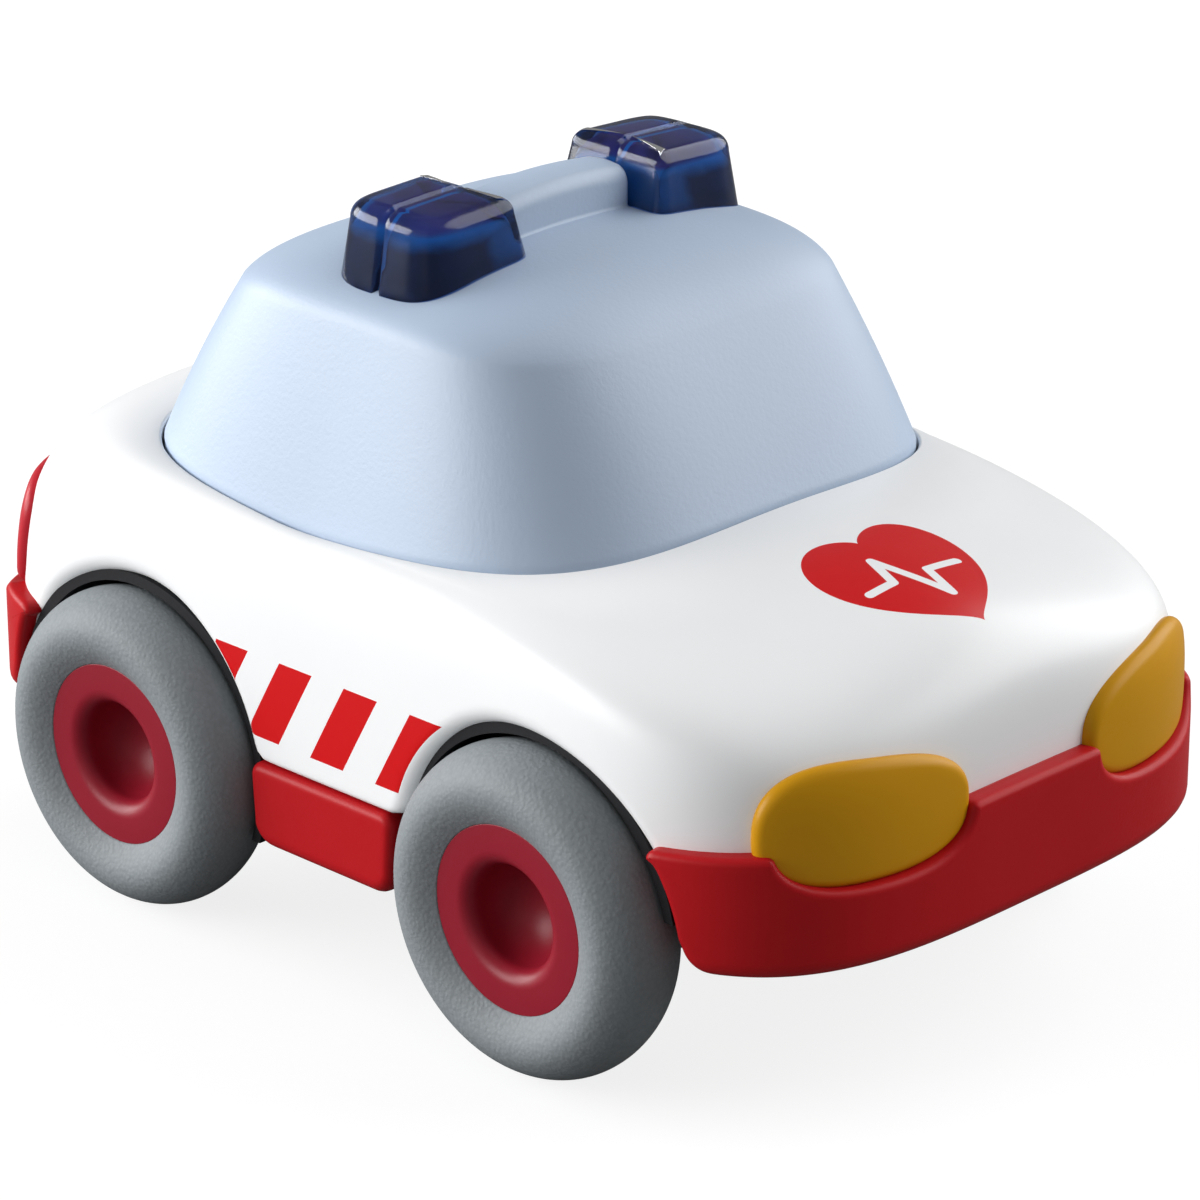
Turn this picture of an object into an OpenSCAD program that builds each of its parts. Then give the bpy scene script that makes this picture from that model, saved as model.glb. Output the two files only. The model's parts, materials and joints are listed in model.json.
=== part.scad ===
// Toy ambulance: a push-along car with a friction flywheel motor.
// Millimetres. +X is forward, +Y is the car's left and +Z is up.
// The origin is on the ground, under the middle of the car's length and width.

/* [Stance] */
// Distance between the two axles
wheelbase = 50; // [48:0.5:54]
// Front axle to the face of the front bumper
front_overhang = 29.1; // [28.4:0.1:31]
// Rear axle to the face of the rear bumper
rear_overhang = 26; // [25:0.1:29]
// Width across the flanks of the body shell
body_w = 62.8; // [61:0.2:65]
// Ground to the underside of the chassis and sills
ride_height = 9.9; // [9:0.1:10.8]

/* [Wheels] */
// How far a tyre's middle plane lies inside the flank
wheel_inset = 0.7; // [0:0.1:1]
// Outer radius of a tyre
tyre_r = 14.8; // [14.2:0.1:15.4]
// Radius of the tyre's round section
tyre_section_r = 4.85; // [4.5:0.05:5.1]
// Radius of the hub barrel that carries the tyre
hub_r = 8.37; // [7.9:0.01:8.7]
// How far the hub's face stands outside the tyre's middle plane
hub_face_out = 3.2; // [2.6:0.1:3.8]
// Radius of the dish in the hub's face
dish_r = 5.1; // [4.4:0.1:5.8]
// Depth of the dish
dish_depth = 6.4; // [5.4:0.1:6.8]
// Rounding of the dish's rim
dish_round = 1; // [0.6:0.1:1.2]
// Radius of the axles
axle_r = 1.5; // [1.3:0.05:1.7]

/* [Body shell] */
// Wall of the body shell
shell_wall = 2; // [1.6:0.1:2.4]
// Height of the sills, from their underside to the shell's lower edge
sill_h = 8.5; // [8:0.1:9.5]
// Upright band above the shell's lower edge
band_h = 3.6; // [3:0.1:4.4]
// Rise from that band to the cabin rim, at the front and rear
rim_rise = 20.8; // [19:0.1:22]
// How much lower the cabin rim lies at the flanks
rim_dip = 2.2; // [1:0.1:3]
// Gap between a tyre and the wheel arch
arch_gap = 1.8; // [1.7:0.1:2.4]

/* [Cabin] */
// Length of the cabin at its rim
cabin_len = 56.4; // [54:0.2:58]
// Width of the cabin at its rim
cabin_w = 55; // [53:0.2:55.6]
// Cabin rim at the front to the crown of the roof
cabin_h = 19.6; // [18:0.1:21.5]
// Rear axle to the middle of the cabin
cabin_from_rear = 20.25; // [19.25:0.25:22]
// Wall of the cabin at its sides
cabin_wall = 1.8; // [1.5:0.1:2.2]
// Thickness of the cabin's roof
roof_t = 3; // [2.6:0.1:3.4]

/* [Light bar] */
// Length of a roof lens along the car, at its foot
lens_len = 13.4; // [12.4:0.1:14.2]
// Width of a roof lens across the car, at its foot
lens_w = 13.4; // [12.6:0.1:14]
// Height of a roof lens above its seat
lens_h = 7.2; // [6.6:0.05:8]
// Middle of the car to the middle of a lens
lens_y = 14.4; // [14:0.1:15]
// Wall of a roof lens
lens_wall = 1.3; // [1.1:0.1:1.6]
// Outward tilt of a lens
lens_tilt = 8.3; // [7:0.1:9]
// Width of the cross-piece between the lenses
bar_w = 5.8; // [5:0.1:6.6]
// Rise of the cross-piece above the crown of the roof
bar_rise = 3.4; // [2.8:0.1:4]

/* [Bumpers and lamps] */
// How far the bumpers stand proud of the body at the nose and tail
bumper_out = 1.9; // [1.6:0.1:2.4]
// How far the bumpers stand proud of the flanks
bumper_flank = 1.2; // [0.9:0.1:1.5]
// Underside of the bumpers above the chassis underside
bumper_lift = 4.7; // [4.3:0.1:5.2]
// Height of the bumpers
bumper_h = 11.7; // [11:0.1:12.4]
// How much lower the tops of the bumpers lie at their ends
bumper_dip = 2; // [1:0.1:2.6]
// Half height of a headlight
headlight_half_h = 4.5; // [4:0.05:5]
// Half height of a tail lamp
taillight_half_h = 5.5; // [4.8:0.05:5.9]
// How far the lamps stand proud of the body
lamp_out = 1.6; // [1.3:0.1:1.8]

/* [Motor] */
// Module of the gear teeth
gear_module = 0.6; // [0.58:0.01:0.62]
// Teeth of the drive gear on the rear axle
drive_teeth = 24; // [24:1:25]
// Teeth of the cluster's pinion
pinion_teeth = 10; // [10:1:11]
// Teeth of the cluster's wheel
wheel_teeth = 26; // [25:1:26]
// Radius of the flywheel
flywheel_r = 9.3; // [8.5:0.1:9.4]
// Thickness of the flywheel's rim
flywheel_t = 5; // [4:0.1:5.2]
// Radius of the cluster shaft and the flywheel arbor
arbor_r = 1; // [0.9:0.05:1.1]
// Half width of the motor case, outside
case_half_w = 9.7; // [9.6:0.1:10.2]
// Wall of the motor case
case_wall = 1.2; // [1:0.1:1.3]

/* [Hidden] */
$fn = 64;

// Cuts run past their faces by this much
overrun = 1;
// Radial clearance of a turning shaft in its bore
run_fit = 0.05;
// Radial clearance of a part that is pressed on
seat_fit = 0.02;
// Clearance between fixed pieces that lie face to face
seat_gap = 0.15;
// Clearance behind the lamps, whose backs follow a curved face
lamp_gap = 0.25;
// Clearance of turning parts to the sides of what holds them
side_gap = 0.3;

// Places along the car
total_len = wheelbase + front_overhang + rear_overhang;
rear_x = rear_overhang - total_len / 2;
front_x = rear_x + wheelbase;
cabin_x = rear_x + cabin_from_rear;
axle_z = tyre_r;
half_w = body_w / 2;
wheel_y = half_w - wheel_inset;

// Heights
shell_z = ride_height + sill_h;
band_z = shell_z + band_h;
rim_z = band_z + rim_rise;
roof_z = rim_z + cabin_h;

// Plan of the body: superellipse quarters about the axles, straight between them
nose_power = 3.5;
tail_power = 4;
section_power = 2.75;
arc_turn = 70;
front_a = front_overhang - bumper_out;
rear_a = rear_overhang - bumper_out;
arch_r = tyre_r + arch_gap;

// Plan and profile of the cabin; each profile row is a share of the half size and of the height
cabin_power = 4.8;
crown_power = 3;
rim_gap = 0.2;
skirt_h = 4;
end_blend_power = 1.5;
wall_end_shares = [[1, 0], [0.91, 0.40], [0.75, 0.72]];
roof_end_shares = [[0.75, 0.72], [0.67, 0.86], [0.47, 0.985], [0, 1]];
wall_side_shares = [[1, 0], [0.925, 0.38], [0.835, 0.76]];
roof_side_shares = [[0.835, 0.76], [0.80, 0.90], [0.62, 0.965], [0, 1]];

// Snap hooks that hold the cabin under the rim of the shell
hook_w = 8;
hook_h = 1.4;
hook_reach = 1;

// Light bar
bar_lead = 0.6;
bar_x = cabin_x + bar_lead;
lens_drop = 2.2;
lens_power_in = 8;
lens_power_out = 3.2;
lens_section_power = 6;
lens_taper_share = 0.14;
groove_w = 1;
groove_depth = 0.55;
bar_power = 5;
bar_sag = 0.5;

// Bumpers
bumper_turn = 56;
bumper_bevel = 0.8;
bumper_round = 1.6;
bumper_flange = 3;
bumper_arch_gap = 0.3;
bumper_z = ride_height + bumper_lift;

// Lamps: middle and half extent along the plan in degrees, and height of the middle
lamp_power = 3;
lamp_edge = 0.5;
headlight_turn = 26.3;
headlight_half_turn = 13.6;
headlight_lift = 0.2;
headlight_z = bumper_z + bumper_h + headlight_lift;
taillight_turn = 27;
taillight_half_turn = 12;
taillight_lift = 2.3;
taillight_z = bumper_z + bumper_h + taillight_lift;

// Sills
sill_out = 0.2;
sill_round = 1.4;
sill_depth = 6.2;
sill_lift = 0.4;
sill_in_y = half_w - sill_depth;

// Chassis screws and the bosses they enter
boss_turns = [20, -20, 150, -150];
boss_shares = [0.35, 0.35, 0.2, 0.2];
boss_r = 2.6;
boss_seat_h = 4.1;
screw_r = 1.1;
screw_head_r = 2.2;
screw_head_t = 1.4;
screw_bite = 8;
pan_boss_r = 3.2;

// Chassis
plate_t = 2;
well_wall = 1;
well_side_gap = 2.4;
well_set_in = 0.9;
well_in_y = wheel_y - tyre_section_r - well_side_gap;
well_out_y = half_w - well_set_in;
well_r = arch_r - side_gap;
pan_half_w = 20;
pan_end_gap = 2.7;
pan_front_x = front_x + front_a - bumper_flange - pan_end_gap;
pan_rear_x = rear_x - rear_a + bumper_flange + pan_end_gap;
ramp_front_x = boss_at(0).x + pan_boss_r;
ramp_rear_x = boss_at(2).x - pan_boss_r;
pan_end_z = bumper_z + seat_gap;
bearing_r = 4;

// Gear train, meshed along two lines of centres
pressure_angle = 25;
addendum_share = 0.85;
dedendum_share = 1.1;
backlash = 0.1;
centre_slack = 0.05;
flank_steps = 6;
mesh_turn = 28;
drive_r = gear_module * drive_teeth / 2;
pinion_r = gear_module * pinion_teeth / 2;
wheel_r = gear_module * wheel_teeth / 2;
tooth_top = addendum_share * gear_module;
mesh_one = drive_r + pinion_r + centre_slack;
mesh_two = wheel_r + pinion_r + centre_slack;
cluster_x = rear_x + mesh_one * cos(mesh_turn);
cluster_z = axle_z + mesh_one * sin(mesh_turn);
fly_x = cluster_x + mesh_two * cos(mesh_turn);
fly_z = cluster_z + mesh_two * sin(mesh_turn);

// Places across the motor, from the right wall of the case to the left
case_in = case_half_w - case_wall;
fly_y = side_gap - case_in;
fly_inner_y = fly_y + flywheel_t;
train_gap = 1.4;
wheel_face = 3;
wheel_y0 = fly_inner_y + train_gap;
wheel_y1 = wheel_y0 + wheel_face;
drive_y0 = wheel_y1 + train_gap;
drive_y1 = case_in - train_gap;
case_clear = 0.8;
case_split_gap = 0.1;
case_bush_r = 3;
case_bush = 2.6;
bearing_gap = 2.15;
bearing_y = case_half_w + case_bush + bearing_gap;
ear_len = 6;
ear_reach = 6.5;
ear_t = 1.5;
ear_lead = 7;
ear_lift = 3.2;
ear_x = rear_x + ear_lead;
ear_z = ride_height + plate_t + ear_lift;
ear_screw_y = case_half_w + ear_reach / 2;

// Facet counts of the lofted forms
plan_steps = 96;
section_steps = 8;
inner_steps = 5;
cabin_steps = 5;
lamp_steps = 32;
lens_steps = 32;
lens_section_steps = 6;
bumper_steps = 36;
round_steps = 4;

// Curve helpers
function mix(a, b, s) = a + (b - a) * s;
function spow(v, p) = sign(v) * pow(abs(v), p);
function quad_curve(p, s) = mix(mix(p[0], p[1], s), mix(p[1], p[2], s), s);
function cubic_curve(p, s) = mix(quad_curve([p[0], p[1], p[2]], s), quad_curve([p[1], p[2], p[3]], s), s);

// Radius of a superellipse with half axes a and b at polar angle t
function polar_r(a, b, power, t) =
    pow(pow(abs(cos(t)) / a, power) + pow(abs(sin(t)) / b, power), -1 / power);

// Point of a superellipse quarter about (x, 0); way is 1 at the nose and -1 at the tail
function quarter(x, way, a, b, q) =
    let (r = polar_r(a, b, way > 0 ? nose_power : tail_power, q))
    [x + way * r * cos(q), r * sin(q)];

// Plan of the body at turn t, from -180 to 180, grown by gx along the car and gy across it
function plan_at(t, gx, gy) =
    abs(t) <= arc_turn ? quarter(front_x, 1, front_a + gx, half_w + gy, t * 90 / arc_turn)
    : abs(t) >= 180 - arc_turn
    ? quarter(rear_x, -1, rear_a + gx, half_w + gy, sign(t) * (180 - abs(t)) * 90 / arc_turn)
    : [mix(front_x, rear_x, (abs(t) - arc_turn) / (180 - 2 * arc_turn)), sign(t) * (half_w + gy)];

// Plan of the cabin's rim, grown by g
function rim_at(t, g) =
    let (r = polar_r(cabin_len / 2 + g, cabin_w / 2 + g, cabin_power, t))
    [cabin_x + r * cos(t), r * sin(t)];
function end_weight(t) = pow(abs(cos(t)), end_blend_power);
function rim_height(t) = rim_z - rim_dip * (1 - end_weight(t));

// Outer skin of the body at turn t, where w runs from 0 at the rim to 1 at the band
function skin_height(w) = pow(1 - pow(w, section_power), 1 / section_power);
function skin_at(t, w) =
    let (p = mix(rim_at(t, rim_gap), plan_at(t, 0, 0), w))
    [p.x, p.y, mix(band_z, rim_height(t), skin_height(w))];
function skin_inside(t, w) =
    let (p = mix(rim_at(t, rim_gap), plan_at(t, -shell_wall, -shell_wall), w))
    [p.x, p.y, mix(band_z, rim_height(t) - shell_wall, skin_height(w))];

// Outer skin at turn t and height z, and its outward direction
function skin_at_z(t, z) =
    let (h = max(0, (z - band_z) / (rim_height(t) - band_z)))
    let (p = skin_at(t, skin_height(h)))
    [p.x, p.y, z];
probe_turn = 0.5;
probe_z = 0.1;
function skin_out(t, z) =
    let (du = skin_at_z(t + probe_turn, z) - skin_at_z(t - probe_turn, z))
    let (dv = skin_at_z(t, z + probe_z) - skin_at_z(t, z - probe_z))
    cross(du, dv) / norm(cross(du, dv));

// Solid through a list of rings: first and last are points that close it, or the rings join round
module loft(rings, first = undef, last = undef, round = false) {
    n = len(rings[0]);
    k = len(rings);
    body = [for (r = rings) each r];
    points = concat(body, is_undef(first) ? [] : [first], is_undef(last) ? [] : [last]);
    first_id = n * k;
    last_id = first_id + (is_undef(first) ? 0 : 1);
    rows = round ? k - 1 : k - 2;
    sides = [for (j = [0:rows], i = [0:n - 1])
        let (a = j * n + i, b = j * n + (i + 1) % n)
        let (c = ((j + 1) % k) * n + (i + 1) % n, d = ((j + 1) % k) * n + i)
        each [[a, b, c], [a, c, d]]];
    head = round ? [] : is_undef(first) ? [[for (i = [n - 1:-1:0]) i]]
        : [for (i = [0:n - 1]) [first_id, (i + 1) % n, i]];
    tail = round ? [] : is_undef(last) ? [[for (i = [0:n - 1]) (k - 1) * n + i]]
        : [for (i = [0:n - 1]) [(k - 1) * n + i, (k - 1) * n + (i + 1) % n, last_id]];
    polyhedron(points = points, faces = concat(sides, head, tail), convexity = 10);
}

// Round bar along Y between two places
module y_rod(r, y0, y1) {
    translate([0, y0, 0])
        rotate([-90, 0, 0])
            cylinder(h = y1 - y0, r = r);
}

// Outline in X and Z, drawn out along Y between two places
module y_slab(y0, y1) {
    translate([0, y1, 0])
        rotate([90, 0, 0])
            linear_extrude(height = y1 - y0)
                children();
}

module at_front() { translate([front_x, 0, axle_z]) children(); }
module at_rear() { translate([rear_x, 0, axle_z]) children(); }
module left_of() { mirror([0, 1, 0]) children(); }

// Round cuts that follow the four wheel arches
module arch_cuts(r) {
    for (x = [front_x, rear_x])
        translate([x, 0, axle_z])
            y_rod(r, -half_w - bumper_flank - overrun, half_w + bumper_flank + overrun);
}

function turns(n) = [for (i = [0:n - 1]) i * 360 / n - 180];

// Places where a screw joins the chassis to the shell
function boss_at(k) = skin_at(boss_turns[k], boss_shares[k]);

module body_shell() {
    outer = [for (j = [0:section_steps])
        let (f = 90 * j / section_steps, w = pow(sin(f), 2 / section_power))
        [for (t = turns(plan_steps)) skin_at(t, w)]];
    inner = [for (j = [inner_steps:-1:0])
        let (f = 90 * j / inner_steps, w = pow(sin(f), 2 / section_power))
        [for (t = turns(plan_steps)) skin_inside(t, w)]];
    foot_out = [for (t = turns(plan_steps)) [each plan_at(t, 0, 0), shell_z]];
    foot_in = [for (t = turns(plan_steps)) [each plan_at(t, -shell_wall, -shell_wall), shell_z]];
    color("white")
        difference() {
            union() {
                loft(concat(outer, [foot_out, foot_in], inner), round = true);
                for (k = [0:3])
                    shell_boss(boss_at(k));
            }
            arch_cuts(arch_r);
            for (k = [0:3])
                shell_pilot(boss_at(k));
        }
}

boss_foot_z = ride_height + boss_seat_h + seat_gap;
module shell_boss(p) {
    translate([p.x, p.y, boss_foot_z])
        cylinder(h = p.z - shell_wall / 2 - boss_foot_z, r = boss_r);
}

module shell_pilot(p) {
    translate([p.x, p.y, boss_foot_z - overrun])
        cylinder(h = screw_bite + 2 * overrun, r = screw_r + seat_fit);
}

// Point of the cabin at turn t; v runs from 0 at the rim over 1 at the roof's edge to 2 at the crown
function end_profile(v) = v <= 1 ? quad_curve(wall_end_shares, v) : cubic_curve(roof_end_shares, v - 1);
function side_profile(v) = v <= 1 ? quad_curve(wall_side_shares, v) : cubic_curve(roof_side_shares, v - 1);
function cabin_at(t, v, wall, drop) =
    let (e = end_profile(v), s = side_profile(v))
    let (a = e[0] * (cabin_len / 2 - wall), b = s[0] * (cabin_w / 2 - wall))
    let (r = polar_r(a, b, mix(cabin_power, crown_power, v / 2), t))
    let (z_end = mix(rim_z, roof_z, e[1]), z_side = mix(rim_z - rim_dip, roof_z, s[1]))
    [cabin_x + r * cos(t), r * sin(t), mix(z_side, z_end, end_weight(t)) - drop * v / 2];
function skirt_at(t, wall) =
    let (p = cabin_at(t, 0, wall, 0))
    [p.x, p.y, rim_height(t) - skirt_h];

module cabin() {
    levels = [for (j = [2 * cabin_steps - 1:-1:0]) j / cabin_steps];
    outer = [for (v = levels) [for (t = turns(plan_steps)) cabin_at(t, v, 0, 0)]];
    inner = [for (j = [0:cabin_steps - 1])
        let (v = 2 * j / cabin_steps)
        [for (t = turns(plan_steps)) cabin_at(t, v, cabin_wall, roof_t)]];
    foot_out = [for (t = turns(plan_steps)) skirt_at(t, 0)];
    foot_in = [for (t = turns(plan_steps)) skirt_at(t, cabin_wall)];
    color("lightsteelblue")
        difference() {
            union() {
                loft(concat(outer, [foot_out, foot_in], inner),
                    first = [cabin_x, 0, roof_z], last = [cabin_x, 0, roof_z - roof_t]);
                light_bar();
                for (way = [1, -1])
                    cabin_hook(way);
            }
            lens_pocket();
            left_of() lens_pocket();
        }
}

module cabin_hook(way) {
    edge = cabin_x + way * cabin_len / 2;
    top = rim_z - shell_wall - seat_gap;
    deep = cabin_wall + hook_reach;
    translate([way > 0 ? edge - cabin_wall : edge - hook_reach, -hook_w / 2, top - hook_h])
        cube([deep, hook_w, hook_h]);
}

// Cross-piece between the lenses, moulded on the roof
bar_end_y = lens_y - lens_w / 2 - seat_gap;
module light_bar() {
    spans = 8;
    sides = 16;
    rings = [for (j = [0:spans])
        let (y = mix(-bar_end_y, bar_end_y, j / spans), sag = bar_sag * pow(y / bar_end_y, 2))
        let (foot = roof_z - roof_t / 2 - 2 * sag)
        let (top = roof_z + bar_rise - sag)
        [for (i = [0:sides])
            let (q = 180 * i / sides)
            [bar_x + bar_w / 2 * spow(cos(q), 2 / bar_power), y,
                mix(foot, top, pow(sin(q), 2 / bar_power))]]];
    loft(rings);
}

// Foot of a lens at turn t, grown by g; the end away from the middle of the car is rounder
function lens_plan(t, g) =
    let (power = sin(t) < 0 ? lens_power_out : lens_power_in)
    let (r = polar_r(lens_len / 2 + g, lens_w / 2 + g, power, t))
    [r * cos(t), r * sin(t)];
function lens_ring(f, inset, top) =
    let (h = pow(sin(f), 2 / lens_section_power))
    let (w = pow(cos(f), 2 / lens_section_power) * (1 - lens_taper_share * h))
    [for (t = turns(lens_steps)) [each lens_plan(t, -inset) * w, top * h]];

// Frame of the right lens: its seat on the sloping roof
module lens_place() {
    translate([bar_x, -lens_y, roof_z - lens_drop])
        rotate([lens_tilt, 0, 0])
            children();
}

module lens_pocket() {
    low = [for (t = turns(lens_steps)) [each lens_plan(t, seat_gap), 0]];
    high = [for (p = low) [p.x, p.y, lens_h]];
    lens_place()
        loft([high, low]);
}

module lens_solid(inset, foot) {
    n = lens_section_steps;
    rings = [for (j = [n - 1:-1:0]) lens_ring(90 * j / n, inset, lens_h - inset)];
    base = [for (p = rings[n - 1]) [p.x, p.y, foot]];
    loft(concat(rings, [base]), first = [0, 0, lens_h - inset]);
}

module roof_lens() {
    color("navy")
        lens_place()
            difference() {
                lens_solid(0, seat_gap);
                lens_solid(lens_wall, -overrun);
                difference() {
                    translate([-groove_w / 2, -lens_w, lens_wall])
                        cube([groove_w, lens_w + lens_w / 2 - lens_wall, lens_h]);
                    lens_solid(groove_depth, 0);
                }
            }
}

module roof_lens_right() { roof_lens(); }
module roof_lens_left() { left_of() roof_lens(); }

// Ring of a lamp that lies on the body skin; share scales its outline and d lifts it off the skin
function lamp_point(lamp, share, q, d) =
    let (r = share * polar_r(1, 1, lamp_power, q))
    let (t = lamp[0] + lamp[1] * r * cos(q), z = lamp[2] + lamp[3] * r * sin(q))
    skin_at_z(t, z) + d * skin_out(t, z);
function lamp_ring(lamp, share, d) =
    [for (i = [0:lamp_steps - 1]) lamp_point(lamp, share, 360 * i / lamp_steps, d)];
function headlight_spec(side) =
    [side * headlight_turn, headlight_half_turn, headlight_z, headlight_half_h];
function taillight_spec(side) =
    [side * (180 - taillight_turn), taillight_half_turn, taillight_z, taillight_half_h];

lamp_face_shares = [0.35, 0.65, 0.88];
lamp_shoulder_share = 0.96;
lamp_back_shares = [0.8, 0.55, 0.3];
module lamp_solid(lamp) {
    front = [for (s = lamp_face_shares) lamp_ring(lamp, s, lamp_out)];
    edge = [lamp_ring(lamp, lamp_shoulder_share, lamp_out - lamp_edge / 3),
        lamp_ring(lamp, 1, lamp_out - lamp_edge), lamp_ring(lamp, 1, lamp_gap)];
    back = [for (s = lamp_back_shares) lamp_ring(lamp, s, lamp_gap)];
    loft(concat(front, edge, back),
        first = lamp_point(lamp, 0, 0, lamp_out), last = lamp_point(lamp, 0, 0, lamp_gap));
}

// Cutter that clears a lamp out of a bumper
lamp_grow_share = 1.035;
module lamp_cutter(lamp) {
    far = lamp_out + bumper_out;
    loft([lamp_ring(lamp, lamp_grow_share, far), lamp_ring(lamp, lamp_grow_share, -shell_wall)],
        first = lamp_point(lamp, 0, 0, far), last = lamp_point(lamp, 0, 0, -shell_wall));
}

module headlight_right() { color("goldenrod") lamp_solid(headlight_spec(-1)); }
module headlight_left() { color("goldenrod") lamp_solid(headlight_spec(1)); }
module taillight_right() { color("firebrick") lamp_solid(taillight_spec(-1)); }
module taillight_left() { color("firebrick") lamp_solid(taillight_spec(1)); }

// Point of a bumper section: d is the reach outside the body's plan
function bumper_point(t, d, z) = [each plan_at(t, d, d > 0 ? d * bumper_flank / bumper_out : d), z];
function bumper_section(top) = concat(
    [[-bumper_flange, bumper_z], [-bumper_flange, shell_z - seat_gap], [seat_gap, shell_z - seat_gap],
        [seat_gap, top], [bumper_out - bumper_bevel, top], [bumper_out, top - bumper_bevel]],
    [for (i = [0:round_steps])
        let (q = 90 * i / round_steps)
        [bumper_out - bumper_round * (1 - cos(q)), bumper_z + bumper_round * (1 - sin(q))]]);

module bumper_solid(middle) {
    rings = [for (i = [0:bumper_steps])
        let (way = 1 - 2 * i / bumper_steps, t = middle + bumper_turn * way)
        let (top = bumper_z + bumper_h - bumper_dip * pow(way, 2))
        [for (s = bumper_section(top)) bumper_point(t > 180 ? t - 360 : t, s[0], s[1])]];
    difference() {
        loft(rings);
        arch_cuts(arch_r + bumper_arch_gap);
    }
}

module front_bumper() {
    color("firebrick")
        difference() {
            bumper_solid(0);
            lamp_cutter(headlight_spec(-1));
            lamp_cutter(headlight_spec(1));
        }
}

module rear_bumper() {
    color("firebrick")
        difference() {
            bumper_solid(180);
            lamp_cutter(taillight_spec(-1));
            lamp_cutter(taillight_spec(1));
        }
}

module sill() {
    out_y = half_w + sill_out;
    top_z = shell_z - seat_gap;
    low_z = ride_height + sill_lift;
    edge = [for (i = [0:round_steps])
        let (q = 90 * i / round_steps)
        [out_y - sill_round * (1 - sin(q)), low_z + sill_round * (1 - cos(q))]];
    color("firebrick")
        difference() {
            translate([rear_x, 0, 0])
                rotate([90, 0, 90])
                    linear_extrude(height = wheelbase)
                        polygon(concat([[sill_in_y, top_z], [sill_in_y, low_z]], edge, [[out_y, top_z]]));
            arch_cuts(arch_r);
        }
}

module sill_left() { sill(); }
module sill_right() { left_of() sill(); }

// Bent plate under the car, level between its ramps
module pan_plate() {
    low = ride_height;
    y_slab(-pan_half_w, pan_half_w)
        polygon([[pan_rear_x, pan_end_z], [ramp_rear_x, low], [ramp_front_x, low],
            [pan_front_x, pan_end_z], [pan_front_x, pan_end_z + plate_t],
            [ramp_front_x, low + plate_t], [ramp_rear_x, low + plate_t],
            [pan_rear_x, pan_end_z + plate_t]]);
    translate([rear_x, seat_gap - sill_in_y, low])
        cube([wheelbase, 2 * (sill_in_y - seat_gap), plate_t]);
}

// Shelf that closes the floor between a bumper and the wheels; the wheel arches bound it
module end_shelf(middle) {
    inset = -bumper_flange - seat_gap;
    difference() {
        translate([0, 0, pan_end_z])
            linear_extrude(height = plate_t)
                polygon([for (i = [0:bumper_steps])
                    let (t = middle + bumper_turn * (2 * i / bumper_steps - 1))
                    plan_at(t > 180 ? t - 360 : t, inset, inset)]);
        arch_cuts(arch_r);
    }
}

// Cup over a wheel, open at the flank; ahead of the front axle and behind the rear one it ends higher up
module wheel_well(x) {
    reach = well_r + overrun;
    far_x = x > 0 ? 0 : -reach;
    translate([x, 0, axle_z])
        difference() {
            y_rod(well_r, well_in_y - well_wall, well_out_y);
            translate([-reach, 0, -reach])
                cube([2 * reach, half_w, reach + ride_height - axle_z]);
            translate([far_x, 0, -reach])
                cube([reach, half_w, reach + shell_z - axle_z]);
        }
}

module wheel_hollow(x) {
    translate([x, 0, axle_z])
        y_rod(well_r - well_wall, well_in_y, half_w + overrun);
}

module chassis() {
    color("dimgray")
        difference() {
            union() {
                pan_plate();
                end_shelf(0);
                end_shelf(180);
                for (x = [front_x, rear_x]) {
                    wheel_well(x);
                    left_of() wheel_well(x);
                    translate([x, 0, axle_z])
                        for (way = [1, -1])
                            y_rod(bearing_r, way > 0 ? bearing_y : -well_in_y,
                                way > 0 ? well_in_y : -bearing_y);
                }
                for (k = [0:3])
                    translate([boss_at(k).x, boss_at(k).y, ride_height])
                        cylinder(h = boss_seat_h, r = pan_boss_r);
                for (way = [1, -1])
                    translate([ear_x, way * ear_screw_y, ride_height])
                        cylinder(h = ear_z - ride_height - seat_gap, r = boss_r);
            }
            for (x = [front_x, rear_x]) {
                wheel_hollow(x);
                left_of() wheel_hollow(x);
                translate([x, 0, axle_z])
                    y_rod(axle_r + run_fit, -half_w, half_w);
            }
            motor_opening();
            for (k = [0:3])
                screw_hole(boss_at(k));
            for (way = [1, -1])
                translate([ear_x, way * ear_screw_y, ride_height + plate_t / 2])
                    cylinder(h = ear_z, r = screw_r + seat_fit);
        }
}

// Slot in the plate through which the motor case hangs
module motor_opening() {
    x0 = rear_x - case_r_drive - side_gap;
    x1 = cluster_x + case_r_wheel + side_gap;
    translate([x0, -case_half_w - side_gap, ride_height - overrun])
        cube([x1 - x0, 2 * (case_half_w + side_gap), plate_t + 2 * overrun]);
}

module screw_hole(p) {
    translate([p.x, p.y, ride_height - overrun]) {
        cylinder(h = boss_seat_h + 2 * overrun, r = screw_r + seat_gap);
        cylinder(h = screw_head_t + seat_gap + overrun, r = screw_head_r + seat_gap);
    }
}

// Screw with its head down, as it enters from below
module screw(bite) {
    cylinder(h = screw_head_t, r = screw_head_r);
    cylinder(h = bite, r = screw_r);
}

module chassis_screws() {
    color("silver")
        for (k = [0:3])
            translate([boss_at(k).x, boss_at(k).y, ride_height + seat_gap])
                screw(boss_seat_h + screw_bite);
}

// Outline of the motor case round its three shafts, for a given wall
case_r_drive = drive_r + tooth_top + case_clear + case_wall;
case_r_wheel = wheel_r + tooth_top + case_clear + case_wall;
case_r_fly = flywheel_r + case_clear + case_wall;
module case_link(p, pr, q, qr) {
    span = norm(q - p);
    along = (q - p) / span;
    lean = acos((pr - qr) / span);
    base = atan2(along.y, along.x);
    polygon([for (c = [[p, pr, lean], [q, qr, lean], [q, qr, -lean], [p, pr, -lean]])
        c[0] + c[1] * [cos(base + c[2]), sin(base + c[2])]]);
}

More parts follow.
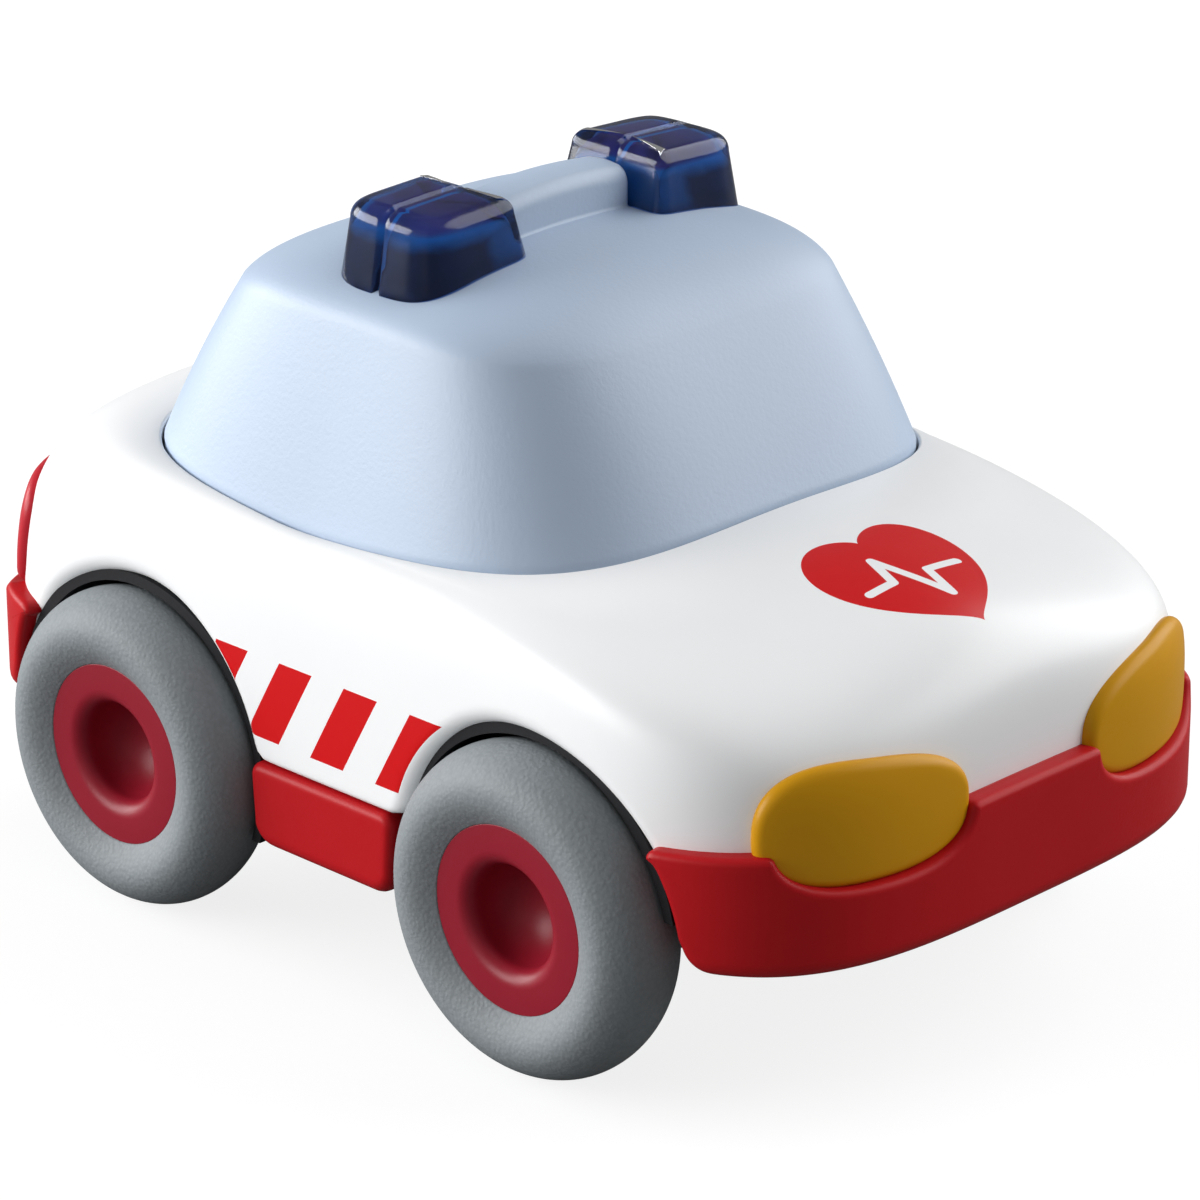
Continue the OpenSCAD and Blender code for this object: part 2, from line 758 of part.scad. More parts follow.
module case_outline(inset) {
    shafts = [[rear_x, axle_z], [cluster_x, cluster_z], [fly_x, fly_z]];
    radii = [case_r_drive - inset, case_r_wheel - inset, case_r_fly - inset];
    for (i = [0:2])
        translate(shafts[i])
            circle(r = radii[i]);
    for (i = [0:1])
        case_link(shafts[i], radii[i], shafts[i + 1], radii[i + 1]);
}

// Left half of the case; the right half is its mirror image
module motor_case_half() {
    color("gainsboro")
        difference() {
            union() {
                difference() {
                    y_slab(case_split_gap, case_half_w) case_outline(0);
                    y_slab(-overrun, case_in) case_outline(case_wall);
                }
                at_rear() y_rod(case_bush_r, case_in, case_half_w + case_bush);
                translate([ear_x - ear_len / 2, case_in, ear_z])
                    cube([ear_len, case_wall + ear_reach, ear_t]);
            }
            at_rear() y_rod(axle_r + run_fit, 0, half_w);
            translate([cluster_x, 0, cluster_z]) y_rod(arbor_r + run_fit, 0, half_w);
            translate([fly_x, 0, fly_z]) y_rod(arbor_r + run_fit, 0, half_w);
            translate([ear_x, ear_screw_y, ear_z - overrun])
                cylinder(h = ear_t + 2 * overrun, r = screw_r + seat_gap);
        }
}

module motor_case_left() { motor_case_half(); }
module motor_case_right() { left_of() motor_case_half(); }

module motor_screws() {
    color("silver")
        for (way = [1, -1])
            translate([ear_x, way * ear_screw_y, ear_z + ear_t + seat_gap + screw_head_t])
                mirror([0, 0, 1])
                    screw(screw_head_t + seat_gap + ear_t + ear_z - ride_height - plate_t / 2 - seat_gap);
}

// Involute teeth about the origin, one of them centred on the turn phase
function involute_deg(a) = tan(a) * 180 / PI - a;
function tooth_half_turn(teeth, r) =
    let (pitch = gear_module * teeth / 2, base = pitch * cos(pressure_angle))
    (PI * gear_module / 2 - backlash) / (2 * pitch) * 180 / PI
        + involute_deg(pressure_angle) - involute_deg(acos(base / max(r, base)));
module gear_outline(teeth, phase) {
    pitch = gear_module * teeth / 2;
    root = pitch - dedendum_share * gear_module;
    radii = [for (i = [0:flank_steps]) mix(root, pitch + tooth_top, i / flank_steps)];
    flank = [for (r = radii) [r, tooth_half_turn(teeth, r)]];
    polygon([for (k = [0:teeth - 1])
        let (mid = phase + k * 360 / teeth)
        each concat(
            [for (f = flank) f[0] * [cos(mid - f[1]), sin(mid - f[1])]],
            [for (i = [flank_steps:-1:0])
                let (f = flank[i])
                f[0] * [cos(mid + f[1]), sin(mid + f[1])]])]);
}

collar_share = 0.6;
module drive_gear() {
    color("ivory")
        at_rear()
            difference() {
                union() {
                    y_slab(drive_y0, drive_y1) gear_outline(drive_teeth, mesh_turn);
                    y_rod(collar_share * drive_r, drive_y0, case_in - side_gap);
                }
                y_rod(axle_r + seat_fit, 0, case_half_w);
            }
}

module cluster_gear() {
    color("ivory")
        translate([cluster_x, 0, cluster_z])
            difference() {
                union() {
                    y_slab(wheel_y0, wheel_y1) gear_outline(wheel_teeth, mesh_turn);
                    y_slab(wheel_y0, case_in - side_gap)
                        gear_outline(pinion_teeth, mesh_turn + 180 + 180 / pinion_teeth);
                }
                y_rod(arbor_r + seat_fit, -case_half_w, case_half_w);
            }
}

module cluster_shaft() {
    color("silver")
        translate([cluster_x, 0, cluster_z])
            y_rod(arbor_r, -case_half_w, case_half_w);
}

web_share = 0.45;
rim_share = 0.72;
module flywheel() {
    boss = 2 * arbor_r + case_wall;
    web = web_share * flywheel_t;
    color("slategray")
        translate([fly_x, fly_y, fly_z])
            rotate([-90, 0, 0])
                rotate_extrude()
                    polygon([[arbor_r + seat_fit, 0], [boss, 0], [boss, flywheel_t - web],
                        [rim_share * flywheel_r, flywheel_t - web], [rim_share * flywheel_r, 0],
                        [flywheel_r, 0], [flywheel_r, flywheel_t], [arbor_r + seat_fit, flywheel_t]]);
}

module flywheel_arbor() {
    color("silver")
        translate([fly_x, 0, fly_z]) {
            y_rod(arbor_r, -case_half_w, case_half_w);
            y_slab(fly_inner_y + side_gap, wheel_y1 + side_gap)
                gear_outline(pinion_teeth, mesh_turn + 180 + 180 / pinion_teeth);
        }
}

// Hub: barrel, dish with a rounded rim, and a collar that runs up to the wheel well
hub_in_y = wheel_y - tyre_section_r + side_gap;
hub_face_y = wheel_y + hub_face_out;
hub_collar_y = well_in_y + side_gap;
hub_collar_r = 2 * axle_r;
dish_floor_share = 0.6;
dish_floor_round = 1.4;
axle_end_y = hub_face_y - dish_depth - axle_r / 2;
module hub() {
    floor_y = hub_face_y - dish_depth;
    floor_r = dish_floor_share * dish_r;
    lip = [for (i = [0:2 * round_steps])
        let (q = 90 * i / (2 * round_steps))
        [dish_r + dish_round * (1 - sin(q)), hub_face_y - dish_round * (1 - cos(q))]];
    bowl = [for (i = [0:2 * round_steps])
        let (q = 90 * i / (2 * round_steps))
        [floor_r - dish_floor_round * (1 - cos(q)), floor_y + dish_floor_round * (1 - sin(q))]];
    bore_r = axle_r + seat_fit;
    color("crimson")
        rotate([-90, 0, 0])
            rotate_extrude()
                polygon(concat([[hub_r, hub_in_y], [hub_r, hub_face_y]], lip, bowl,
                    [[0, floor_y], [0, axle_end_y + seat_fit], [bore_r, axle_end_y + seat_fit],
                        [bore_r, hub_collar_y], [hub_collar_r, hub_collar_y], [hub_collar_r, hub_in_y]]));
}

module front_hub_left() { at_front() hub(); }
module front_hub_right() { at_front() left_of() hub(); }
module rear_hub_left() { at_rear() hub(); }
module rear_hub_right() { at_rear() left_of() hub(); }

// Tyre: round section, bored to sit on the hub
module tyre() {
    color("slategray")
        translate([0, wheel_y, 0])
            rotate([-90, 0, 0])
                difference() {
                    rotate_extrude()
                        translate([tyre_r - tyre_section_r, 0])
                            circle(r = tyre_section_r);
                    translate([0, 0, -tyre_section_r - overrun])
                        cylinder(h = 2 * (tyre_section_r + overrun), r = hub_r + seat_fit);
                }
}

module front_tyre_left() { at_front() tyre(); }
module front_tyre_right() { at_front() left_of() tyre(); }
module rear_tyre_left() { at_rear() tyre(); }
module rear_tyre_right() { at_rear() left_of() tyre(); }

module front_axle() { color("silver") at_front() y_rod(axle_r, -axle_end_y, axle_end_y); }
module rear_axle() { color("silver") at_rear() y_rod(axle_r, -axle_end_y, axle_end_y); }

body_shell();
cabin();
roof_lens_right();
roof_lens_left();
headlight_right();
headlight_left();
taillight_right();
taillight_left();
front_bumper();
rear_bumper();
sill_right();
sill_left();
chassis();
chassis_screws();
motor_case_right();
motor_case_left();
motor_screws();
front_axle();
front_hub_right();
front_hub_left();
front_tyre_right();
front_tyre_left();
rear_axle();
rear_hub_right();
rear_hub_left();
rear_tyre_right();
rear_tyre_left();
drive_gear();
cluster_gear();
cluster_shaft();
flywheel();
flywheel_arbor();
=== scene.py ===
import json
import bmesh
import bpy
import numpy as np
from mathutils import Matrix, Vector

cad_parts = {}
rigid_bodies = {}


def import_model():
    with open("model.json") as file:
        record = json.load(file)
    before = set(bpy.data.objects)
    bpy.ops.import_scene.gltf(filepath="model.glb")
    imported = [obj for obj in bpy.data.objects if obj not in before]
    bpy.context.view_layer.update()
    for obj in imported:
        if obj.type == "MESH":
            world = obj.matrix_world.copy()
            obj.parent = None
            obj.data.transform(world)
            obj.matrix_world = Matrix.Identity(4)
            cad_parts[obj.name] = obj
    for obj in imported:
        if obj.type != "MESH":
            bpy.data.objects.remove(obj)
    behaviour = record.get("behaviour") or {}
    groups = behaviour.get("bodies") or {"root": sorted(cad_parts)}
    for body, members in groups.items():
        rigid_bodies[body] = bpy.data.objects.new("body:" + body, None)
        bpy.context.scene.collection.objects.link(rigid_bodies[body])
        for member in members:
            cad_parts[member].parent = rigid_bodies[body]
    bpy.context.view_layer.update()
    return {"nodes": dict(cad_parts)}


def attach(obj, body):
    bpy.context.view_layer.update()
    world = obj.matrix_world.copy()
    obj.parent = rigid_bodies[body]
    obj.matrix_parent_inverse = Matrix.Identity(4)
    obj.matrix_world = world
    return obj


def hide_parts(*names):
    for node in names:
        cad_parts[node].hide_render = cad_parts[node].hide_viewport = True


for leftOver in list(bpy.data.objects):
    bpy.data.objects.remove(leftOver)
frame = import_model()
print("frame loaded:", len(frame["nodes"]), "nodes")

mm = 0.001
mergeGap = 2e-6  # metres; points of a piece that lie closer become one

# Shared measures of the car in millimetres and degrees: x ahead, y to the left, z up
car = {
    "rearX": -26.55, "frontX": 23.45, "axleZ": 14.8, "archRadius": 16.6,
    "halfWidth": 31.4, "noseReach": 27.2, "tailReach": 24.1,
    "nosePower": 3.5, "tailPower": 4.0, "arcTurn": 70.0,
    "footZ": 18.4, "bandZ": 22.0, "sectionPower": 2.75,
    "rimZ": 42.8, "rimDip": 3.0, "rimGap": 0.2, "endBlend": 1.5,
    "cabinX": -6.3, "cabinHalfLength": 29.4, "cabinHalfWidth": 27.9, "roofZ": 62.4,
    "cabinPower": 3.7, "edgePower": 3.9, "crownPower": 3.0,
    "nosePowerZ": 6.5, "noseDrop": 4.2, "noseSideDrop": 7.5, "noseSide": 38.0, "noseFall": 0.9,
    "noseFrom": 30.0, "noseTo": 90.0,
}


# Straight mix of two values by a share
def mix(a, b, share):
    return a + (b - a) * share


# Vectors over their own length
def unit(v, least=1e-12):
    return v / np.maximum(np.linalg.norm(v, axis=-1, keepdims=True), least)


# Coordinates spread to a common shape and set side by side as points
def join(*parts):
    return np.stack(np.broadcast_arrays(*parts), -1)


# Points of the plan set at a height
def raised(plan, z):
    return join(plan[..., 0], plan[..., 1], z)


# Angles of a quarter circle in even steps
def quarter(count):
    return np.radians(np.linspace(0.0, 90.0, count))


# Offsets of a rounded corner of radius 1 along its two sides: one less the cosine and one less the sine
def cornerShares(count):
    q = quarter(count)
    return 1.0 - np.cos(q), 1.0 - np.sin(q)


# Cubic step from 0 to 1 with flat ends
def smoothStep(u):
    u = np.clip(u, 0.0, 1.0)
    return u * u * (3.0 - 2.0 * u)


# A turn in degrees brought between -180 and 180
def wrapTurn(turn):
    return (np.asarray(turn, float) + 180.0) % 360.0 - 180.0


# Length along a path: the running sum of its steps
def pathLength(points):
    return np.concatenate([[0.0], np.cumsum(np.linalg.norm(np.diff(points, axis=0), axis=1))])


# Points at even lengths along a flat path, and its whole length
def evenPoints(path, steps):
    length = pathLength(path)
    at = np.linspace(0.0, length[-1], steps + 1)
    return join(*[np.interp(at, length, path[:, k]) for k in (0, 1)]), length[-1]


# Outward direction along a closed outline: its central difference turned to the right
def outward(outline):
    around = np.roll(outline, -1, 0) - np.roll(outline, 1, 0)
    return unit(join(around[:, 1], -around[:, 0]))


# Row of points drawn together at its mean, to close an end
def capRow(row):
    return np.broadcast_to(row.mean(0), row.shape)[None]


# Radius of a superellipse with half axes a and b at polar angle q
def polarRadius(a, b, power, q):
    return ((np.abs(np.cos(q)) / a) ** power + (np.abs(np.sin(q)) / b) ** power) ** (-1.0 / power)


# Plan of the body: superellipse quarters about the axles, straight lines between them
def planAt(turn, growX=0.0, growY=0.0):
    turn = wrapTurn(turn)
    size, side = np.abs(turn), np.sign(turn)
    nose, tail = size <= car["arcTurn"], size >= 180.0 - car["arcTurn"]
    q = np.radians(np.where(nose, turn, side * (180.0 - size)) * 90.0 / car["arcTurn"])
    reach = np.where(nose, car["noseReach"], car["tailReach"]) + growX
    power = np.where(nose, car["nosePower"], car["tailPower"])
    r = polarRadius(reach, car["halfWidth"] + growY, power, q)
    along = (size - car["arcTurn"]) / (180.0 - 2.0 * car["arcTurn"])
    arcX = np.where(nose, car["frontX"] + r * np.cos(q), car["rearX"] - r * np.cos(q))
    straight = ~(nose | tail)
    x = np.where(straight, mix(car["frontX"], car["rearX"], along), arcX)
    y = np.where(straight, side * (car["halfWidth"] + growY), r * np.sin(q))
    return join(x, y)


# Plan of the opening for the cabin: one superellipse about the cabin's middle
def rimAt(turn, grow=0.0):
    q = np.radians(turn)
    r = polarRadius(car["cabinHalfLength"] + grow, car["cabinHalfWidth"] + grow, car["cabinPower"], q)
    return join(car["cabinX"] + r * np.cos(q), r * np.sin(q))


# Share of the cabin's ends at a plan turn: a power of the cosine, 1 ahead and behind, 0 at the sides
def endWeight(turn):
    return np.abs(np.cos(np.radians(turn))) ** car["endBlend"]


# Height of the rim: full at the ends, lower by the dip at the sides
def rimHeight(turn):
    return car["rimZ"] - car["rimDip"] * (1.0 - endWeight(turn))


# Share of the nose at a plan turn: a smooth step, 1 ahead and 0 from the doors back
def noseShare(turn):
    return smoothStep((car["noseTo"] - np.abs(wrapTurn(turn))) / (car["noseTo"] - car["noseFrom"]))


# Power of the skin's section: the flank's, mixed with the nose's by its share
def sectionPower(turn):
    return mix(car["sectionPower"], car["nosePowerZ"], noseShare(turn))


# Height of the skin along a ruling: a superellipse from rim to band, under a top that falls to the nose
def skinHeight(turn, share):
    n = sectionPower(turn)
    drop = mix(car["noseDrop"], car["noseSideDrop"], smoothStep(np.abs(wrapTurn(turn)) / car["noseSide"]))
    top = rimHeight(turn) - drop * noseShare(turn) * share ** car["noseFall"]
    return mix(car["bandZ"], top, np.maximum(1.0 - share ** n, 0.0) ** (1.0 / n))


# Body skin: straight rulings in plan from rim to band
def skinAt(turn, share):
    p = mix(rimAt(turn, car["rimGap"]), planAt(turn), share[..., None])
    return raised(p, skinHeight(turn, share))


# Share of the ruling at a height, by halving
def shareAtZ(turn, z, halvings=44):
    low = np.zeros(np.broadcast(turn, z).shape)
    high = np.ones_like(low)
    for _ in range(halvings):
        middle = (low + high) / 2.0
        above = skinHeight(turn, middle) > z
        low, high = np.where(above, middle, low), np.where(above, high, middle)
    return (low + high) / 2.0


# Point of the skin at a plan turn and a height
def skinAtZ(turn, z):
    return raised(skinAt(turn, shareAtZ(turn, z)), z)


# Outward direction of the skin: cross product of its two central differences
def skinOut(turn, z, probeTurn=0.4, probeZ=0.1):
    along = skinAtZ(turn + probeTurn, z) - skinAtZ(turn - probeTurn, z)
    up = skinAtZ(turn, z + probeZ) - skinAtZ(turn, z - probeZ)
    return unit(np.cross(along, up))


# Table of plan turns off the nose or tail, and their lengths along the plan
def planChart(middle, growX=0.0, growY=0.0, reach=110.0, count=4401):
    offset = np.linspace(-reach, reach, count)
    length = pathLength(planAt(middle + offset, growX, growY))
    return offset, length - np.interp(0.0, offset, length)


# Evenly spaced closed loop, rounded by a Gaussian along its length
def softLoop(points, count, blur):
    even, total = evenPoints(np.concatenate([points, points[:1]]), count)
    wave = np.fft.fftfreq(count, total / count)
    keep = np.exp(-2.0 * (np.pi * wave * blur) ** 2)
    return np.real(np.fft.ifft(np.fft.fft(even[:-1], axis=0) * keep[:, None], axis=0))


# Bezier curve of any degree through a table of points, by repeated mixing
def bezier(table, share):
    rows = [np.array(p, float) for p in table]
    while len(rows) > 1:
        rows = [mix(a, b, share[..., None]) for a, b in zip(rows, rows[1:])]
    return rows[0]


# Quads of a grid of points, closed across rows, columns or both
def gridQuads(rows, cols, closeRows, closeCols):
    i = np.arange(rows if closeRows else rows - 1)[:, None]
    j = np.arange(cols if closeCols else cols - 1)[None, :]
    down, right = (i + 1) % rows, (j + 1) % cols
    return join(i * cols + j, i * cols + right, down * cols + right, down * cols + j).reshape(-1, 4)


# Object with its data, linked into the scene
def addObject(name, data):
    made = bpy.data.objects.new(name, data)
    bpy.context.scene.collection.objects.link(made)
    return made


# One mesh from a few grids of points; coinciding points are merged and faces turned outwards
def makePiece(name, sheets, finish, nodes=(), body="car_body"):
    verts, quads, start = [], [], 0
    for points, closeRows, closeCols in sheets:
        rows, cols = points.shape[:2]
        verts.append(points.reshape(-1, 3) * mm)
        quads.append(gridQuads(rows, cols, closeRows, closeCols) + start)
        start += rows * cols
    mesh = bpy.data.meshes.new(name)
    mesh.from_pydata(np.concatenate(verts).tolist(), [], np.concatenate(quads).tolist())
    bm = bmesh.new()
    bm.from_mesh(mesh)
    bmesh.ops.remove_doubles(bm, verts=bm.verts, dist=mergeGap)
    bmesh.ops.recalc_face_normals(bm, faces=bm.faces)
    bm.to_mesh(mesh)
    bm.free()
    mesh.polygons.foreach_set("use_smooth", np.ones(len(mesh.polygons), bool))
    mesh.materials.append(finishes[finish])
    piece = addObject(name, mesh)
    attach(piece, body)
    if nodes:
        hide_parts(*nodes)
    print(name, len(mesh.polygons), "faces")


# A piece and its mirror image, with y changed in sign; the side in their names follows that sign
def makePair(name, sheets, finish, node=None, body="car_body"):
    flipped = [(points * np.array([1.0, -1.0, 1.0]), a, b) for points, a, b in sheets]
    for half in (sheets, flipped):
        side = "Left" if half[0][0][..., 1].mean() > 0.0 else "Right"
        makePiece(name.format(side), half, finish, [node.format(side.lower())] if node else [], body)


# Raised pad on a surface: a face shrunk towards its centre, a rounded edge, a side and a back
def padSheet(outline, centre, surface, reach, rounding, depth, crown=0.0,
             faceRows=14, edgeRows=7, sideRows=3):
    count, out = len(outline), outward(outline)
    rounding = np.broadcast_to(rounding, count)[:, None]
    depth = np.broadcast_to(depth, count)[:, None]
    inner = outline - rounding * out
    centre = np.broadcast_to(centre, outline.shape)
    share = np.linspace(0.0, 1.0, faceRows)[:, None, None]
    turn = quarter(edgeRows)[1:, None, None]
    sink = np.linspace(0.0, 1.0, sideRows + 1)[1:, None, None]
    bulge = crown * (1.0 - share[..., 0] ** 2)
    chart = np.concatenate([
        mix(centre, inner, share), inner + rounding * np.sin(turn) * out,
        np.broadcast_to(outline, (sideRows,) + outline.shape), mix(outline, centre, sink)])
    lift = np.concatenate([
        np.broadcast_to(reach + bulge, (faceRows, count)), (reach - rounding * (1.0 - np.cos(turn)))[..., 0],
        mix(reach - rounding, reach - depth, sink)[..., 0],
        np.broadcast_to((reach - depth)[:, 0], (sideRows, count))])
    return (surface(chart, lift), False, True)


# Profile of radius and place across the car, turned about an axle
def turnedSheet(profile, x, z, steps):
    q = np.radians(np.arange(steps) * 360.0 / steps)
    r, y = profile[:, :1], profile[:, 1:]
    return (join(x + r * np.cos(q), y, z + r * np.sin(q)), False, True)


# A socket with arithmetic: an expression on values adds its Math nodes
class Wire:
    def __init__(self, tree, socket=None):
        self.tree, self.socket = tree, socket

    # Any other node: its type, its settings, then the values or links of its sockets
    def node(self, kind, settings=None, sockets=None, output=0):
        made = self.tree.nodes.new(kind)
        for key, value in (settings or {}).items():
            setattr(made, key, value)
        for key, value in (sockets or {}).items():
            setSocket(made, key, value)
        return Wire(self.tree, made.outputs[output])

    # One Math node on numbers or wires
    def calc(self, operation, *values):
        return self.node("ShaderNodeMath", {"operation": operation}, dict(enumerate(values)))

    def __add__(self, other):
        return self.calc("ADD", self, other)

    __radd__ = __add__

    def __sub__(self, other):
        return self.calc("SUBTRACT", self, other)

    def __rsub__(self, other):
        return self.calc("SUBTRACT", other, self)

    def __mul__(self, other):
        return self.calc("MULTIPLY", self, other)

    __rmul__ = __mul__

    def __truediv__(self, other):
        return self.calc("DIVIDE", self, other)

    def __rtruediv__(self, other):
        return self.calc("DIVIDE", other, self)

    def __abs__(self):
        return self.calc("ABSOLUTE", self)

    def __lt__(self, other):
        return self.calc("LESS_THAN", self, other)

    def __gt__(self, other):
        return self.calc("GREATER_THAN", self, other)

    # Object coordinates, in metres
    def place(self):
        return self.node("ShaderNodeTexCoord", output="Object")

    # Object coordinates one by one, in millimetres
    def axes(self):
        parts = self.node("ShaderNodeSeparateXYZ", None, {0: self.place()}).socket.node.outputs
        return [Wire(self.tree, part) * (1.0 / mm) for part in parts]

    # Fractal noise with cells of a size in millimetres
    def noise(self, size, detail=2.0, rough=0.5):
        return self.node("ShaderNodeTexNoise", None, {"Vector": self.place(), "Scale": 1.0 / (size * mm),
                                                      "Detail": detail, "Roughness": rough})

    # Two colours mixed by a share
    def blend(self, share, a, b):
        a, b = [c if isinstance(c, Wire) else colour(*c) for c in (a, b)]
        return self.node("ShaderNodeMix", {"data_type": "RGBA"}, {0: share, 6: a, 7: b}, 2)

    # Bumped normal from a height; the distance is in millimetres
    def bump(self, height, strength, distance):
        return self.node("ShaderNodeBump", None,
                         {"Strength": strength, "Distance": distance * mm, "Height": height})


# A value or a link onto one socket of a node
def setSocket(node, key, value):
    if isinstance(value, Wire):
        value.tree.links.new(value.socket, node.inputs[key])
    else:
        node.inputs[key].default_value = value


# Colour with full alpha
def colour(r, g, b):
    return (r, g, b, 1.0)


# New material: itself, a wire on its tree and its shader
def newMaterial(name):
    material = bpy.data.materials.new(name)
    material.use_nodes = True
    return material, Wire(material.node_tree), material.node_tree.nodes["Principled BSDF"]


socketNames = {"base": "Base Color", "rough": "Roughness", "normal": "Normal", "coat": "Coat Weight",
               "coatRough": "Coat Roughness", "metal": "Metallic", "ior": "IOR",
               "clear": "Transmission Weight", "specular": "Specular IOR Level"}


# Values or links onto the shader's sockets, by their short names
def setSockets(shader, **values):
    for key, value in values.items():
        setSocket(shader, socketNames[key], value)


plasticSpec = {"cloudSize": 9.0, "cloudDetail": 3.0, "grainRough": 0.6, "bump": 0.6,
               "roughLess": 0.04, "roughCloud": 0.05, "roughGrain": 0.04}


# Moulded plastic: a faint cloudy tint, a grain with its size and depth in millimetres, and gloss that varies
def mouldedPlastic(name, tint, rough, grainSize, grainDepth, specular=0.22, cloud=0.04):
    p = plasticSpec
    material, wire, shader = newMaterial(name)
    cloudy = wire.noise(p["cloudSize"], p["cloudDetail"])
    grain = wire.noise(grainSize, rough=p["grainRough"])
    setSockets(shader, base=wire.blend(cloudy, [c * (1.0 - 2.0 * cloud) for c in tint], tint),
               rough=rough - p["roughLess"] + cloudy * p["roughCloud"] + grain * p["roughGrain"],
               normal=wire.bump(grain, p["bump"], grainDepth), specular=specular)
    return material


shellSpec = {
    "columns": 640, "rows": 60, "fineTurns": 24000, "rollRows": 9, "rimRows": 6, "insideStep": 5,
    "archRadius": 15.05, "archRound": 1.7, "archLead": 1.035, "archSharp": 3.0,
    "archMiddles": [(car["frontX"], car["axleZ"] + 0.85), (car["rearX"], car["axleZ"] + 1.3)],
    "footRound": 0.7, "corner": 0.7, "wall": 2.2, "bandScale": 27.0,
    "rimRound": 0.35, "rimDepth": 2.6, "rimStep": 1.0, "white": ((0.86, 0.87, 0.88), (0.90, 0.905, 0.91)),
    "cloudSize": 14.0, "cloudDetail": 3.0, "grainSize": 0.35, "grainDepth": 0.01, "bump": 0.4,
    "rough": 0.30, "roughCloud": 0.06, "roughGrain": 0.03, "coat": 0.12, "coatRough": 0.3, "specular": 0.28,
}

printed = {
    "red": (0.61, 0.002, 0.004),
    "stripeLow": 20.8, "stripeHigh": 28.5, "stripePitch": 8.17, "stripeShare": 0.508, "stripeLean": 0.57,
    "stripeStart": -19.5, "stripeCount": 4.0, "stripeOut": 25.0, "archClear": 16.4,
    "heartX": 38.9, "heartSize": 7.1, "heartAhead": 25.0, "heartAbove": 30.0, "pulseHalf": 0.062,
    "pulse": [(-0.78, 0.12), (-0.36, 0.12), (-0.20, 0.62), (0.08, -0.42), (0.24, 0.12), (0.78, 0.12)],
}


# White body moulding with its print: slanted bars on the flanks and a heart with a pulse line on the hood
def shellWhite():
    material, wire, shader = newMaterial("shellWhite")
    x, y, z = wire.axes()
    s, p = shellSpec, printed
    # Bars: the fraction of the place along the slanted pitch, inside limits and clear of the arches
    along = (x - p["stripeStart"] - (z - p["stripeLow"]) * p["stripeLean"]) / p["stripePitch"]
    bars = (wire.calc("FRACT", along) < p["stripeShare"]) * (along > 0.0) * (along < p["stripeCount"])
    bars = bars * (z > p["stripeLow"]) * (z < p["stripeHigh"]) * (abs(y) > p["stripeOut"])
    for archX, archZ in s["archMiddles"]:
        dx, dz = x - archX, z - archZ
        bars = bars * ((dx * dx + dz * dz) > p["archClear"] ** 2)
    # Heart: (u^2 + v^2 - 1)^3 < u^2 v^3, with its lobes towards the cabin
    u, v = y / p["heartSize"], (p["heartX"] - x) / p["heartSize"]
    ball = u * u + v * v - 1.0
    heart = (ball * ball * ball < u * u * v * v * v) * (z > p["heartAbove"]) * (x > p["heartAhead"])
    # Pulse: the least squared distance to the segments of a line with two teeth
    near = None
    for (u0, v0), (u1, v1) in zip(p["pulse"], p["pulse"][1:]):
        du, dv = u1 - u0, v1 - v0
        along = ((u - u0) * du + (v - v0) * dv) / (du * du + dv * dv)
        along = wire.calc("MINIMUM", wire.calc("MAXIMUM", along, 0.0), 1.0)
        ru, rv = u - u0 - along * du, v - v0 - along * dv
        gap = ru * ru + rv * rv
        near = gap if near is None else wire.calc("MINIMUM", near, gap)
    pulse = near < p["pulseHalf"] ** 2
    ink = wire.calc("MAXIMUM", bars, heart * (1.0 - pulse))
    cloudy = wire.noise(s["cloudSize"], s["cloudDetail"])
    grain = wire.noise(s["grainSize"])
    setSockets(shader, base=wire.blend(ink, wire.blend(cloudy, *s["white"]), p["red"]),
               rough=s["rough"] + cloudy * s["roughCloud"] + grain * s["roughGrain"],
               normal=wire.bump(grain, s["bump"], s["grainDepth"]),
               coat=s["coat"] - ink * s["coat"], coatRough=s["coatRough"], specular=s["specular"])
    return material


# The hollow colour of the tyre is painted shade in the grain
rubberSpec = {"cellSize": 0.40, "cellSoft": 0.5, "cellShare": 0.6, "fineSize": 0.25, "fineShare": 0.5,
              "cloudSize": 10.0, "ridge": ((0.205, 0.23, 0.245), (0.25, 0.275, 0.29)),
              "valley": (0.165, 0.185, 0.198), "rough": 0.58, "roughFine": 0.12, "bump": 0.55, "depth": 0.10}


# Soft tyre skin: two sizes of leathery grain, with painted shade that darkens the grain's hollows
def tyreGrey():
    r = rubberSpec
    material, wire, shader = newMaterial("tyreGrey")
    cells = wire.node("ShaderNodeTexVoronoi", {"feature": "SMOOTH_F1"}, {
        "Vector": wire.place(), "Scale": 1.0 / (r["cellSize"] * mm), "Smoothness": r["cellSoft"]})
    fine = wire.noise(r["fineSize"])
    cloudy = wire.noise(r["cloudSize"])
    relief = (1.0 - cells) * r["cellShare"] + fine * r["fineShare"]
    # Base colour darker where the grain is low: painted shade in its hollows
    setSockets(shader, base=wire.blend(relief, r["valley"], wire.blend(cloudy, *r["ridge"])),
               rough=r["rough"] + fine * r["roughFine"], normal=wire.bump(relief, r["bump"], r["depth"]))
    return material
